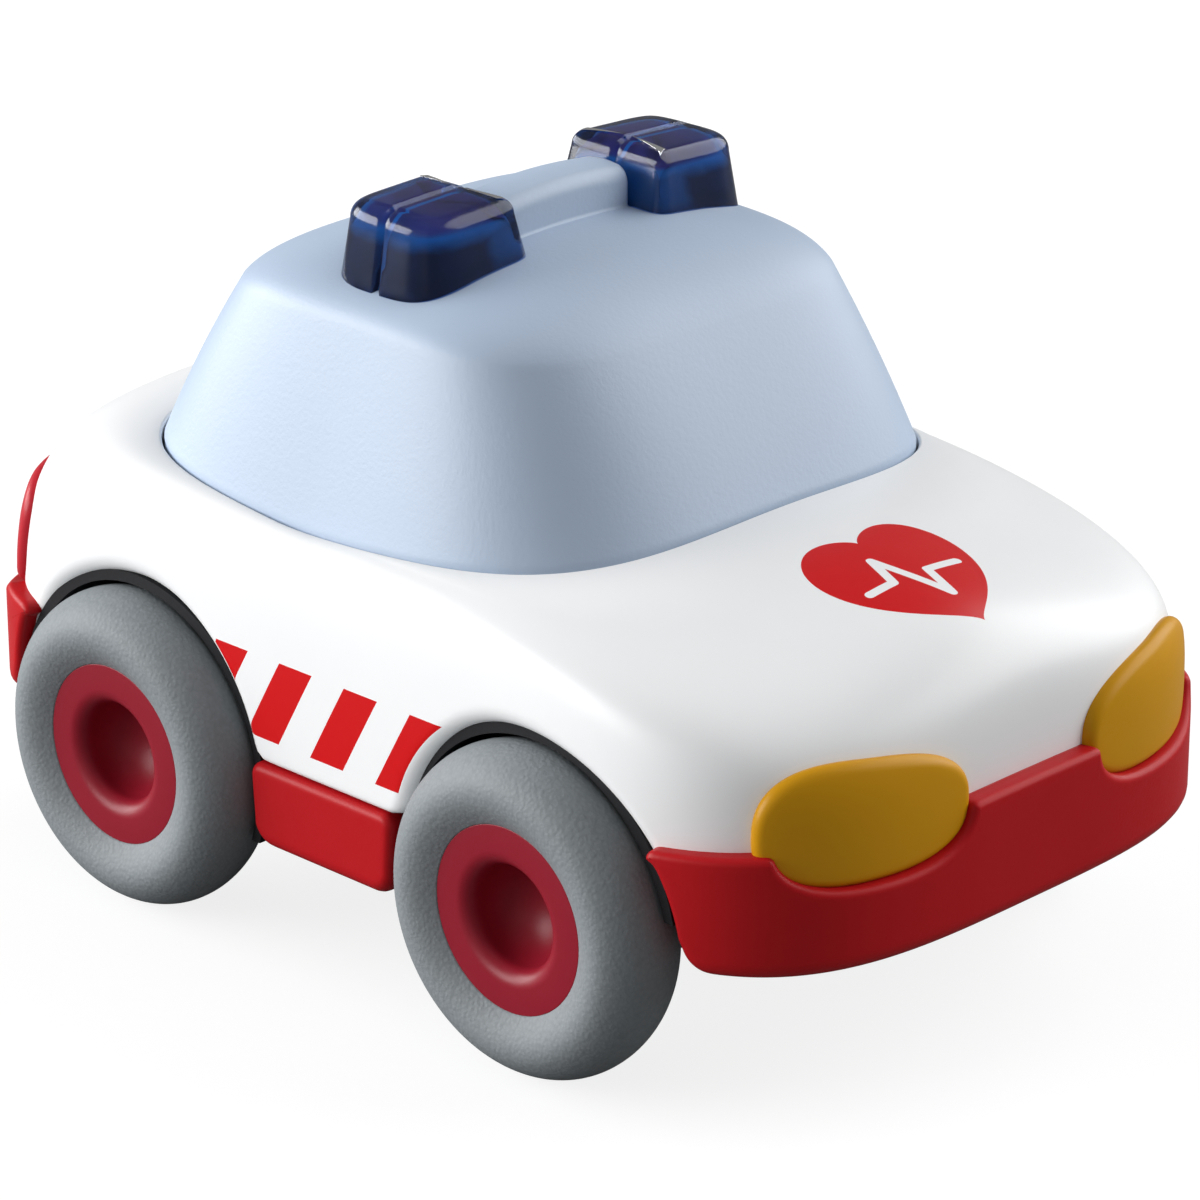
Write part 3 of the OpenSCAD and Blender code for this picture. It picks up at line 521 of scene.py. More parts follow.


# Roof lenses: the moulding, its grid, the core inside it that carries painted shade and glow, and the clear
# plastic
lensSpec = {
    "acrossY": 14.05, "length": 13.4, "width": 12.7, "height": 6.75, "drop": 2.2, "tilt": 8.3, "topTilt": 2.0,
    "leanOut": 0.2, "innerPower": 8.0, "outerPower": 3.4, "draft": 0.95, "edge": 1.5, "crown": 0.2,
    "lipOut": 0.01, "lipHigh": 0.6, "lipShares": [(1.0, 0.0), (1.0, 0.35), (0.7, 0.6), (0.25, 0.8)],
    "grooveHalf": 0.5, "grooveDepth": 0.55, "grooveSlope": 0.85, "fadeFrom": 3.2, "fadeOver": 1.2,
    "slotInset": 0.4, "slotColumns": 17, "sideColumns": 70, "finePoints": 4001,
    "wallRows": 16, "edgeRows": 9, "topRows": 14,
    "coreInset": [0.02, 0.04, 0.4, 0.65, 1.2, 1.6, 2.1, 3.0],
    "coreRise": [0.0, 0.45, 0.9, 1.9, 2.3, 4.0, 4.8, 5.1],
    "tint": ((0.06, 0.16, 0.54), (0.085, 0.20, 0.62)), "rippleSize": 3.0, "rippleDepth": 0.02, "bump": 0.15,
    "rough": 0.14, "roughRipple": 0.05, "ior": 1.40,
}


# Tinted clear lens: deep blue, polished, a slight ripple of the mould
def lensBlue():
    s = lensSpec
    material, wire, shader = newMaterial("lensBlue")
    ripple = wire.noise(s["rippleSize"])
    setSockets(shader, base=wire.blend(ripple, *s["tint"]), rough=s["rough"] + ripple * s["roughRipple"],
               clear=1.0, ior=s["ior"], normal=wire.bump(ripple, s["bump"], s["rippleDepth"]))
    return material


# Cross-piece of the light bar
barSpec = {"lead": 0.6, "width": 5.8, "rise": 3.75, "sag": 0.5, "endY": 7.62, "flare": 0.4, "corner": 1.5,
           "sink": 0.06, "crown": 0.12, "spans": 48, "cornerRows": 9, "crownRows": 9}

# Colours and ramps of the painted light inside the lenses: painted shade, painted glow, a painted violet top
# and a painted highlight line
lensPaintedLightSpec = {
    "dark": (0.014, 0.012, 0.022), "glow": (0.05, 0.25, 0.33), "cap": (0.20, 0.05, 0.16), "capShade": 0.35,
    "slot": (0.05, 0.32, 0.45), "slotHalf": 0.22, "glowFrom": 3.9, "glowTo": 5.2, "capFrom": 4.75,
    "capTo": 5.12, "clearFrom": 13.1, "clearTo": 11.3, "clearLow": 0.6, "clearHigh": 2.4, "clearShare": 0.6,
    "cloudSize": 3.0, "rough": 0.5, "roughCloud": 0.1,
}


# Painted light inside a lens: painted shade low down, a painted blue glow under the edge, a painted violet
# top, a painted lighter end towards the cross-piece and a painted highlight line under the groove, each by a
# smooth ramp of the place
def lensInside():
    material, wire, shader = newMaterial("lensInside")
    s = lensPaintedLightSpec
    x, y, z = wire.axes()

    def ramp(value, low, high):  # smooth step between two levels
        smooth = {"interpolation_type": "SMOOTHSTEP"}
        return wire.node("ShaderNodeMapRange", smooth, {0: value, 1: low, 2: high})

    lean = float(np.tan(np.radians(lensSpec["topTilt"])))
    level = z - (car["roofZ"] - lensSpec["drop"]) + (abs(y) - lensSpec["acrossY"]) * lean
    cloudy = wire.noise(s["cloudSize"])
    # Painted glow under the lens's edge, and a painted lighter end towards the cross-piece
    glow = ramp(level + cloudy, s["glowFrom"], s["glowTo"])
    clear = (1.0 - ramp(abs(y), s["clearTo"], s["clearFrom"])) * ramp(level, s["clearLow"], s["clearHigh"])
    side = wire.blend(wire.calc("MAXIMUM", glow, clear * s["clearShare"]), s["dark"], s["glow"])
    lid = wire.blend(cloudy, [c * s["capShade"] for c in s["cap"]], s["cap"])
    capped = wire.blend(ramp(level, s["capFrom"], s["capTo"]), side, lid)
    # Painted highlight: a bright line under the groove
    slot = abs(x - (car["cabinX"] + barSpec["lead"])) < s["slotHalf"]
    setSockets(shader, base=wire.blend(slot, capped, s["slot"]), rough=s["rough"] + cloudy * s["roughCloud"])
    return material


metalSpec = {"lineDetail": 3.0, "lineBump": 0.2, "lineDepth": 0.02, "roughLine": 0.12, "cloudSize": 2.0,
             "shade": 0.85}


# Drawn or turned metal: fine streaks round the car's cross axis, by a noise of y alone
def metalFinish(name, tint, rough, streak):
    m = metalSpec
    material, wire, shader = newMaterial(name)
    lines = wire.node("ShaderNodeTexNoise", {"noise_dimensions": "1D"}, {
        "W": wire.axes()[1], "Scale": 1.0 / streak, "Detail": m["lineDetail"]})
    cloudy = wire.noise(m["cloudSize"])
    setSockets(shader, base=wire.blend(cloudy, [c * m["shade"] for c in tint], tint), metal=1.0,
               rough=rough + lines * m["roughLine"], normal=wire.bump(lines, m["lineBump"], m["lineDepth"]))
    return material


# Plastics by name, tint, roughness, grain size and grain depth; metals by name, tint, roughness and streak
finishes = {
    "shell": shellWhite(),
    "cabin": mouldedPlastic("cabinBlue", (0.418, 0.512, 0.65), 0.45, 0.42, 0.035, specular=0.52, cloud=0.015),
    "lens": lensBlue(),
    # The lens core's finish is painted shade and painted glow
    "lensCore": lensInside(),
    "ochre": mouldedPlastic("lampOchre", (0.62, 0.295, 0.004), 0.36, 0.3, 0.012, specular=0.17),
    "lampRed": mouldedPlastic("lampRed", (0.50, 0.018, 0.03), 0.36, 0.3, 0.012),
    "trim": mouldedPlastic("trimRed", (0.47, 0.007, 0.011), 0.40, 0.35, 0.02, specular=0.16),
    "hub": mouldedPlastic("hubCrimson", (0.27, 0.010, 0.023), 0.38, 0.3, 0.015),
    "tyre": tyreGrey(),
    "under": mouldedPlastic("underBlack", (0.014, 0.014, 0.016), 0.5, 0.5, 0.03),
    "case": mouldedPlastic("caseGrey", (0.33, 0.33, 0.31), 0.5, 0.4, 0.02),
    "gear": mouldedPlastic("gearIvory", (0.68, 0.63, 0.50), 0.45, 0.4, 0.02),
    "steel": metalFinish("plainSteel", (0.60, 0.61, 0.63), 0.24, 0.25),
    "iron": metalFinish("turnedIron", (0.28, 0.285, 0.30), 0.34, 0.35),
}
print("finishes made:", len(finishes))


# Lower edge of the shell: a soft maximum of the foot line and the wheel arches, with the arches' share
def lowerEdge(turn):
    s = shellSpec
    arch = 0.0
    for archX, archZ in s["archMiddles"]:
        ahead = planAt(turn)[..., 0] - archX
        ahead = np.where(ahead > 0.0, ahead / s["archLead"], ahead)
        rise = np.sqrt(np.maximum((s["archRadius"] + s["archRound"]) ** 2 - ahead ** 2, 0.0))
        arch = np.maximum(arch, archZ + rise)
    foot = car["footZ"] + s["footRound"]
    gap = arch - foot
    edgeZ = 0.5 * (arch + foot + np.sqrt(gap ** 2 + s["corner"] ** 2))
    return edgeZ, 1.0 / (1.0 + np.exp(-s["archSharp"] * gap))


# Body shell: columns of constant plan turn run from the cabin opening down the skin to the lower edge,
# which rolls in by a quarter circle to the inner wall; columns are evenly spaced along that edge
def bodyShell():
    s = shellSpec
    turn = np.linspace(-180.0, 180.0, s["fineTurns"] + 1)[:-1]
    line = np.concatenate([planAt(turn), lowerEdge(turn)[0][:, None]], -1)
    length = np.cumsum(np.linalg.norm(line - np.roll(line, 1, 0), axis=1))
    turn = np.interp(np.arange(s["columns"]) * length[-1] / s["columns"], length, turn)
    edgeZ, archShare = lowerEdge(turn)
    n = sectionPower(turn)
    onSkin = np.arcsin(shareAtZ(turn, edgeZ) ** (n / 2.0)) / (np.pi / 2.0)
    end = np.where(edgeZ > car["bandZ"], onSkin, 1.0 + (car["bandZ"] - edgeZ) / s["bandScale"])
    run = np.linalg.norm(planAt(turn) - rimAt(turn, car["rimGap"]), axis=1)
    begin = np.arcsin((s["rimRound"] / run) ** (n / 2.0)) / (np.pi / 2.0)
    c = mix(begin, end, np.linspace(0.0, 1.0, s["rows"])[:, None])
    share = np.sin(np.minimum(c, 1.0) * np.pi / 2.0) ** (2.0 / n)
    skin = skinAt(np.broadcast_to(turn, c.shape), share)
    skin[..., 2] -= np.maximum(c - 1.0, 0.0) * s["bandScale"]
    out = unit(np.cross(np.gradient(skin, axis=0), np.roll(skin, -1, 1) - np.roll(skin, 1, 1)))
    # Rolled lower edge
    edge, edgeOut = skin[-1], out[-1]
    down = unit(np.cross(np.roll(edge, -1, 0) - np.roll(edge, 1, 0), edgeOut))
    r = mix(s["footRound"], s["archRound"], archShare)[:, None]
    q = quarter(s["rollRows"])[1:, None, None]
    roll = edge + r * np.sin(q) * down - r * (1.0 - np.cos(q)) * edgeOut
    lip = edge + r * down - mix(r, s["wall"], np.array([0.5, 1.0])[:, None, None]) * edgeOut
    inside = (skin - s["wall"] * out)[::-s["insideStep"]]
    # Rim round the cabin
    top, up = skin[0], np.array([0.0, 0.0, 1.0])
    inward = unit(np.concatenate([rimAt(turn) - planAt(turn), np.zeros((len(turn), 1))], -1))
    q = quarter(s["rimRows"])[:0:-1, None, None]
    rimRoll = top + s["rimRound"] * (np.sin(q) * inward - (1.0 - np.cos(q)) * up)
    rimDown = np.array([s["rimDepth"], s["rimStep"]])[:, None, None]
    rimWall = top + s["rimRound"] * (inward - up) - rimDown * up
    points = np.concatenate([rimWall, rimRoll, skin, roll, lip, inside])
    return [(points, True, True)]


makePiece("bodyShell", bodyShell(), "shell", ["body_shell"])

# Profiles of the cabin as shares of its half length or width and of its height, at the ends and the sides
cabinSpec = {"columns": 360, "wallRows": 34, "roofRows": 40, "skirt": 3.0,
             "wallEnd": [(1, 0), (0.88, 0.40), (0.72, 0.72)],
             "roofEnd": [(0.72, 0.72), (0.643, 0.86), (0.45, 0.985), (0, 1)],
             "wallSide": [(1, 0), (0.914, 0.385), (0.823, 0.768)],
             "roofSide": [(0.823, 0.768), (0.789, 0.904), (0.611, 0.9665), (0, 1)]}


# Cabin: level v is 0 at the rim, 1 at the roof's edge and 2 at the crown; each level is a superellipse
# whose ends and sides follow their own profile
def cabinAt(turn, v, least=1e-6):
    wall = v <= 1.0
    low, high = np.clip(v, 0.0, 1.0), np.clip(v - 1.0, 0.0, 1.0)

    def profile(part):  # the wall's curve up to the roof's edge, then the roof's own
        lower, upper = bezier(cabinSpec["wall" + part], low), bezier(cabinSpec["roof" + part], high)
        return np.where(wall[..., None], lower, upper)

    ends, sides = profile("End"), profile("Side")
    power = np.where(wall, mix(car["cabinPower"], car["edgePower"], low),
                     mix(car["edgePower"], car["crownPower"], high))
    q = np.radians(turn)
    a = np.maximum(ends[..., 0] * car["cabinHalfLength"], least)
    b = np.maximum(sides[..., 0] * car["cabinHalfWidth"], least)
    r = polarRadius(a, b, power, q)
    zEnd = mix(car["rimZ"], car["roofZ"], ends[..., 1])
    zSide = mix(car["rimZ"] - car["rimDip"], car["roofZ"], sides[..., 1])
    return join(car["cabinX"] + r * np.cos(q), r * np.sin(q), mix(zSide, zEnd, endWeight(turn)))


# Height of the roof over a point of the plan, by halving the level until its outline meets the point
def roofHeight(x, y, halvings=40):
    dx = x - car["cabinX"]
    turn = np.degrees(np.arctan2(y, dx))
    far = np.hypot(dx, y)
    low, high = np.zeros_like(far), np.full_like(far, 2.0)
    for _ in range(halvings):
        v = (low + high) / 2.0
        p = cabinAt(turn, v)
        outside = np.hypot(p[..., 0] - car["cabinX"], p[..., 1]) < far
        high, low = np.where(outside, v, high), np.where(outside, low, v)
    return cabinAt(turn, (low + high) / 2.0)[..., 2]


# Cross-piece on the roof: a section with a flared foot and rounded top corners, carried across the car
def lightBar():
    b = barSpec
    y = np.linspace(-b["endY"], b["endY"], b["spans"])[:, None]
    half, x0 = b["width"] / 2.0, car["cabinX"] + b["lead"]
    foot = roofHeight(np.full_like(y, x0 + half), y)
    top = car["roofZ"] + b["rise"] - b["sag"] * (y / b["endY"]) ** 2
    early, late = cornerShares(b["cornerRows"])
    rightX = np.concatenate([half + b["flare"] * late, half - b["corner"] * early])
    rightZ = np.concatenate([foot + (b["flare"] * early - b["sink"]), top - b["corner"] * late], 1)
    lean = np.linspace(1.0, -1.0, b["crownRows"])[1:-1]
    x = x0 + np.concatenate([rightX, lean * (half - b["corner"]), -rightX[::-1]])
    z = np.concatenate([rightZ, top + b["crown"] * (1.0 - lean ** 2), rightZ[:, ::-1]], 1)
    ring = join(x, y, z)
    return (np.concatenate([capRow(ring[0]), ring, capRow(ring[-1])]), False, True)


# Dome of the cabin: all levels from rim to crown, with a skirt that reaches down into the shell
def cabinDome():
    s = cabinSpec
    turn = np.arange(s["columns"]) * 360.0 / s["columns"] - 180.0
    roof = 1.0 + np.linspace(0.0, 1.0, s["roofRows"])[1:]
    v = np.concatenate([np.linspace(0.0, 1.0, s["wallRows"]), roof])
    dome = cabinAt(*np.broadcast_arrays(turn, v[:, None]))
    skirt = dome[:1] - np.array([0.0, 0.0, s["skirt"]])
    return (np.concatenate([capRow(skirt[0]), skirt, dome]), False, True)


makePiece("cabinDome", [cabinDome(), lightBar()], "cabin", ["cabin"])


# Outline of a lens about its middle: superellipse halves, with even columns across the groove at both ends
def lensOutline():
    s = lensSpec
    q = np.radians(np.linspace(-90.0, 90.0, s["finePoints"]))
    power = np.where(np.sin(q) < 0.0, s["outerPower"], s["innerPower"])
    r = polarRadius(s["length"] / 2.0, s["width"] / 2.0, power, q)
    half = join(r * np.cos(q), r * np.sin(q))
    inSlot = half[:, 0] < s["grooveHalf"]
    outer, inner = half[inSlot & (half[:, 1] < 0.0)], half[inSlot & (half[:, 1] > 0.0)][::-1]
    slotX = np.linspace(-s["grooveHalf"], s["grooveHalf"], s["slotColumns"])
    outerEnd, innerEnd = [join(slotX, np.interp(np.abs(slotX), *p.T)) for p in (outer, inner)]
    side = evenPoints(half[~inSlot], s["sideColumns"] + 1)[0][1:-1]
    return np.concatenate([outerEnd, side, innerEnd[::-1], (side * np.array([-1.0, 1.0]))[::-1]])


# From the lens's own seat to the car: the foot slopes with the roof, the top is nearly level
def lensToCar(points):
    s = lensSpec
    x, y, z = np.moveaxis(points, -1, 0)
    share = np.clip(z / s["height"], 0.0, 1.0)
    slope = np.tan(np.radians(mix(s["tilt"], s["topTilt"], share)))
    return join(x + car["cabinX"] + barSpec["lead"], y - s["leanOut"] * share - s["acrossY"],
                z + y * slope + car["roofZ"] - s["drop"])


# Depth of the groove: a smooth step of the distance from the lens's middle plane
def grooveAt(x):
    s = lensSpec
    return s["grooveDepth"] * smoothStep((s["grooveHalf"] - np.abs(x)) / (s["grooveSlope"] * s["grooveHalf"]))


# Points sunk by the groove; on the inner end it fades out below the top
def sunk(points, direction):
    s = lensSpec
    fade = np.clip((points[..., 2] - s["height"] + s["fadeFrom"]) / s["fadeOver"], 0.0, 1.0)
    fade = np.where(points[..., 1] > 0.0, fade, 1.0)
    return points - (grooveAt(points[..., 0]) * fade)[..., None] * direction


# Lens: rows climb the drafted side from a small foot lip, round the edge and cross the top to a slot, which
# has its own grid; the core is the outline again, drawn in by a table of insets and heights
def roofLens():
    s = lensSpec
    outline = lensOutline()
    out = outward(outline)
    early, late = cornerShares(s["edgeRows"])
    straight = np.linspace(0.0, 1.0, s["wallRows"])
    lipOut, lipHigh = np.array(s["lipShares"]).T
    inset = np.concatenate([-s["lipOut"] * lipOut, s["draft"] * straight, s["draft"] + s["edge"] * early[1:]])
    rise = np.concatenate([s["lipHigh"] * lipHigh, mix(s["lipHigh"], s["height"] - s["edge"], straight),
                           s["height"] - s["edge"] * late[1:]])
    wall = outline - inset[:, None, None] * out
    # Top
    endY = s["width"] / 2.0 - s["draft"] - s["edge"] - s["slotInset"]
    slotX = np.clip(outline[:, 0], -s["grooveHalf"], s["grooveHalf"])
    slotY = np.clip(outline[:, 1], -endY, endY)
    share = np.linspace(0.0, 1.0, s["topRows"])[1:, None]
    top = mix(wall[-1], join(slotX, slotY), share[..., None])
    topZ = s["height"] + s["crown"] * (1.0 - (1.0 - share) ** 2)
    shell = np.concatenate([raised(wall, rise[:, None]), raised(top, topZ)])
    face = unit(np.cross(np.roll(shell, -1, 1) - np.roll(shell, 1, 1), np.gradient(shell, axis=0)))
    # Slot across the top
    n, k = s["slotColumns"], s["sideColumns"]
    strip = join(slotX[:n], slotY[n - 1:n + k + 1, None], s["height"] + s["crown"])
    shell, strip = sunk(shell, face), sunk(strip, np.array([0.0, 0.0, 1.0]))
    base = np.concatenate([capRow(shell[0]), shell[:1]])
    lens = [(lensToCar(shell), False, True), (lensToCar(strip), False, False), (lensToCar(base), False, True)]
    # Core: a block inside the lens, coloured with painted shade and painted glow
    small = outline - (np.array(s["coreInset"])[:, None] + grooveAt(outline[:, 0]))[..., None] * out
    core = raised(small, np.array(s["coreRise"])[:, None])
    core = np.concatenate([capRow(core[0]), core, capRow(core[-1])])
    return lens, [(lensToCar(core), False, True)]


lensSheets, paintedCoreSheets = roofLens()
makePair("roofLens{}", lensSheets, "lens", "roof_lens_{}")
# Lens cores: their colour is painted shade and painted glow
makePair("roofLens{}Core", paintedCoreSheets, "lensCore")

lampSpec = {
    "headlight": {"middle": 0.0, "turn": 26.3, "halfTurn": 14.1, "z": 26.5, "halfHeight": 4.75, "power": 2.55,
                  "lift": 1.9, "reach": 1.1, "notchFrom": 0.99, "notchTo": 0.83},
    "taillight": {"middle": 180.0, "turn": 30.5, "halfTurn": 15.6, "z": 29.5, "halfHeight": 6.0, "power": 3.4,
                  "lift": 0.0, "reach": 0.75, "notchFrom": 1.0, "notchTo": 1.03},
    "edge": 1.0, "crown": 0.15, "sink": 1.5, "columns": 160,
}


# Outline of a lamp in plan turn and height: a superellipse whose upper half rises towards the flank
def lampOutline(lamp, count):
    q = np.linspace(0.0, 2.0 * np.pi, count, endpoint=False)
    r = polarRadius(1.0, 1.0, lamp["power"], q)
    across, up = r * np.cos(q), r * np.sin(q)
    rise = lamp["lift"] * (across + 1.0) / 2.0 * np.maximum(up, 0.0)
    return join(lamp["turn"] + lamp["halfTurn"] * across, lamp["z"] + lamp["halfHeight"] * up + rise)


# Lower half of the notch round a lamp, from the flank side to the middle of the car
def notchOutline(lamp, gap, count):
    q = np.linspace(0.0, np.pi, count)
    r = polarRadius(1.0, 1.0, lamp["power"], q)
    half = lamp["halfTurn"] * (lamp["notchFrom"] + lamp["notchTo"]) / 2.0
    middle = lamp["turn"] + lamp["halfTurn"] * (lamp["notchTo"] - lamp["notchFrom"]) / 2.0
    return join(middle + half * r * np.cos(q), lamp["z"] - (lamp["halfHeight"] + gap) * r * np.sin(q))


# Lamp: a crowned pad that lies on the body skin and wraps the corner; one side is made and mirrored
def lampSheet(lamp):
    s = lampSpec
    offset, length = planChart(lamp["middle"])

    def onSkin(chart, lift):  # the skin at a length and height, moved out by the lift
        turn = wrapTurn(lamp["middle"] + np.interp(chart[..., 0], length, offset))
        return skinAtZ(turn, chart[..., 1]) + lift[..., None] * skinOut(turn, chart[..., 1])

    flat = lampOutline(lamp, s["columns"])
    outline = join(np.interp(flat[:, 0], offset, length), flat[:, 1])
    return padSheet(outline, outline.mean(0), onSkin, lamp["reach"], s["edge"], s["sink"], s["crown"])


for kind, finish in (("headlight", "ochre"), ("taillight", "lampRed")):
    makePair(kind + "{}", [lampSheet(lampSpec[kind])], finish, kind + "_{}")

bumperSpec = {
    "out": 1.9, "flank": 1.2, "lowZ": 14.6, "height": 11.7, "dipTurn": 56.0, "columns": 900, "blur": 0.42,
    "topEdge": 0.65, "lowEdge": 1.5, "edgeBlend": 3.0, "cornerRound": 2.6, "endRound": 1.1, "endGap": 0.45,
    "endTurn": 50.0, "notchGap": -0.15, "flange": 3.0, "backGap": 0.25, "backBlend": 0.6, "faceInset": 6.0,
    "probe": 0.2, "endRows": 60, "cornerRows": 14, "notchRows": 200, "outerRows": 40, "innerRows": 60,
    "bottomRows": 120, "faceRows": 12,
    "front": {"middle": 0.0, "way": 1.0, "axleX": car["frontX"], "lamp": "headlight", "dip": 1.6},
    "rear": {"middle": 180.0, "way": -1.0, "axleX": car["rearX"], "lamp": "taillight", "dip": 2.0},
}


# Bumper: an outline in length and height, notched by the lamps and ended by the arches, raised off the plan
def bumperSheet(place):
    b, lamp, middle = bumperSpec, lampSpec[place["lamp"]], place["middle"]
    grow, lowZ = (b["out"], b["flank"]), b["lowZ"]
    offset, length = planChart(middle, *grow)
    reachX = place["way"] * (planAt(middle + offset, *grow)[:, 0] - place["axleX"])
    half = offset >= 0.0

    def topZ(turn):  # falls by the square of the turn
        return lowZ + b["height"] - place["dip"] * (turn / b["dipTurn"]) ** 2

    # End of the bumper at each height: the plan turn whose place along the car meets the arch circle
    endZ = lowZ + np.linspace(0.0, 1.0, b["endRows"]) * (topZ(b["endTurn"]) - lowZ)
    gap = car["archRadius"] + b["endGap"]
    endX = np.sqrt(np.maximum(gap ** 2 - (endZ - car["axleZ"]) ** 2, 0.0))
    endTurn = np.interp(-endX, -reachX[half], offset[half])
    endA = np.interp(endTurn, offset, length)
    # Lower and upper corner: quarter circles
    early, late = cornerShares(b["cornerRows"])
    big, small = b["cornerRound"], b["endRound"]
    corner = join(endA[0] - big * late, lowZ + big * early)
    tip = join(endA[-1] - small * early, endZ[-1] - small * late)
    between = (endZ > lowZ + big) & (endZ < endZ[-1] - small)
    # Top, from the end to the middle of the car, with the lamp's notch
    hole = notchOutline(lamp, b["notchGap"], b["notchRows"])
    below = hole[hole[:, 1] < topZ(hole[:, 0])]
    startTurn = np.interp(endA[-1] - small, length, offset)
    outerTurn = np.linspace(startTurn, below[0, 0], b["outerRows"])[1:-1]
    innerTurn = np.linspace(below[-1, 0], 0.0, b["innerRows"])[1:]
    top = np.concatenate([join(outerTurn, topZ(outerTurn)), below, join(innerTurn, topZ(innerTurn))])
    top[:, 0] = np.interp(top[:, 0], offset, length)
    bottom = join(np.linspace(0.0, endA[0] - big, b["bottomRows"]), lowZ)
    right = np.concatenate([bottom, corner[1:], join(endA, endZ)[between], tip, top])
    loop = np.concatenate([right, (right * np.array([-1.0, 1.0]))[::-1][1:-1]])
    outline = softLoop(loop, b["columns"], b["blur"])
    limit = endA.min() - b["faceInset"]
    centre = join(np.clip(outline[:, 0], -limit, limit), mix(lowZ, lamp["z"] - lamp["halfHeight"], 0.5))
    rounding = mix(b["lowEdge"], b["topEdge"], np.clip((outline[:, 1] - lowZ) / b["edgeBlend"], 0.0, 1.0))
    backShare = np.clip((outline[:, 1] - car["footZ"] + b["backBlend"]) / b["backBlend"], 0.0, 1.0)
    deep = mix(b["out"] + b["flange"], b["out"] + b["backGap"], backShare)

    def onPlan(chart, lift):  # the grown plan at a length, moved out by the lift
        turn = middle + np.interp(chart[..., 0], length, offset)
        along = unit(planAt(turn + b["probe"], *grow) - planAt(turn - b["probe"], *grow))
        flat = planAt(turn, *grow) + lift[..., None] * join(along[..., 1], -along[..., 0])
        return raised(flat, chart[..., 1])

    return padSheet(outline, centre, onPlan, 0.0, rounding, deep, faceRows=b["faceRows"])


for end in ("front", "rear"):
    makePiece(end + "Bumper", [bumperSheet(bumperSpec[end])], "trim", [end + "_bumper"])

sillSpec = {"lowZ": 10.3, "highZ": 18.22, "out": 0.2, "rearGap": -0.75, "frontGap": 0.25, "topReach": 0.3,
            "cornerRound": 2.1, "topRound": 1.2, "edge": 0.8, "lowEdge": 1.4, "edgeBlend": 2.0, "depth": 6.3,
            "blur": 0.2, "faceHalf": 5.0, "columns": 240, "cornerRows": 20, "faceRows": 10}


# Sill: a rounded bar between the wheel arches, flat towards the flank
def sillSheet():
    s = sillSpec
    x0 = car["rearX"] + car["archRadius"] + s["rearGap"]
    x1 = car["frontX"] - car["archRadius"] - s["frontGap"]
    early, late = cornerShares(s["cornerRows"])
    c, t = s["cornerRound"], s["topRound"]
    right = join(x1 - c * late, s["lowZ"] + c * early)
    topRight = join(x1 + s["topReach"] - t * early, s["highZ"] - t * late)
    topLeft = join(x0 - s["topReach"] + t * late, s["highZ"] - t * early)
    left = join(x0 + c * early, s["lowZ"] + c * late)
    outline = softLoop(np.concatenate([right, topRight, topLeft, left]), s["columns"], s["blur"])
    middleX = (x0 + x1) / 2.0
    centre = join(np.clip(outline[:, 0], middleX - s["faceHalf"], middleX + s["faceHalf"]),
                  mix(s["lowZ"], s["highZ"], 0.5))
    share = np.clip((outline[:, 1] - s["lowZ"]) / s["edgeBlend"], 0.0, 1.0)
    rounding = mix(s["lowEdge"], s["edge"], share)

    def onFlank(chart, lift):  # a plane beside the flank, moved out by the lift
        return join(chart[..., 0], -(car["halfWidth"] + s["out"] + lift), chart[..., 1])

    return padSheet(outline, centre, onFlank, 0.0, rounding, s["depth"], faceRows=s["faceRows"])


makePair("sill{}", [sillSheet()], "trim", "sill_{}")

wheelSpec = {
    "steps": 180, "middleY": 30.7, "tyreRadius": 14.8, "section": 4.85, "inward": 1.12, "roundTo": 45.0,
    "roundLead": 2.8, "lipTip": 8.4, "lipY": 33.84, "lipLead": (1.1, 0.85), "seatDeep": 1.2, "ringRows": 64,
    "lipRows": 30, "hubRadius": 8.37, "faceY": 33.9, "ringEdge": 0.15, "ringFall": 0.05, "dishRadius": 4.6,
    "dishRound": 1.5, "dishDepth": 5.4, "flangeRadius": 8.45, "flangeDeep": 0.8, "backY": 26.15,
    "collarY": 23.75, "collarRadius": 3.0, "poleRadius": 1e-4, "edgeRows": 10, "bowlRows": 22,
}


# Hub: flat ring with a rounded outer edge, a broad rounded mouth and a deep bowl, turned about the axle
def hubProfile():
    w = wheelSpec
    early, late = cornerShares(w["edgeRows"])
    faceY, mouthY, floorY = w["faceY"], w["faceY"] - w["dishRound"], w["faceY"] - w["dishDepth"]
    edge = join(w["flangeRadius"] - w["ringEdge"] * early, faceY - w["ringFall"] - w["ringEdge"] * late)
    mouth = join(w["dishRadius"] + w["dishRound"] * late, faceY - w["dishRound"] * early)
    q = quarter(w["bowlRows"])[1:-1]
    bowl = join(w["dishRadius"] * np.cos(q), mix(mouthY, floorY, np.sin(q)))
    flangeY = faceY - w["flangeDeep"]
    back = [[w["poleRadius"], w["collarY"]], [w["collarRadius"], w["collarY"]],
            [w["collarRadius"], w["backY"]], [w["hubRadius"], w["backY"]],
            [w["hubRadius"], flangeY], [w["flangeRadius"], flangeY]]
    return np.concatenate([back, edge, mouth, bowl, [[w["poleRadius"], floorY]]])


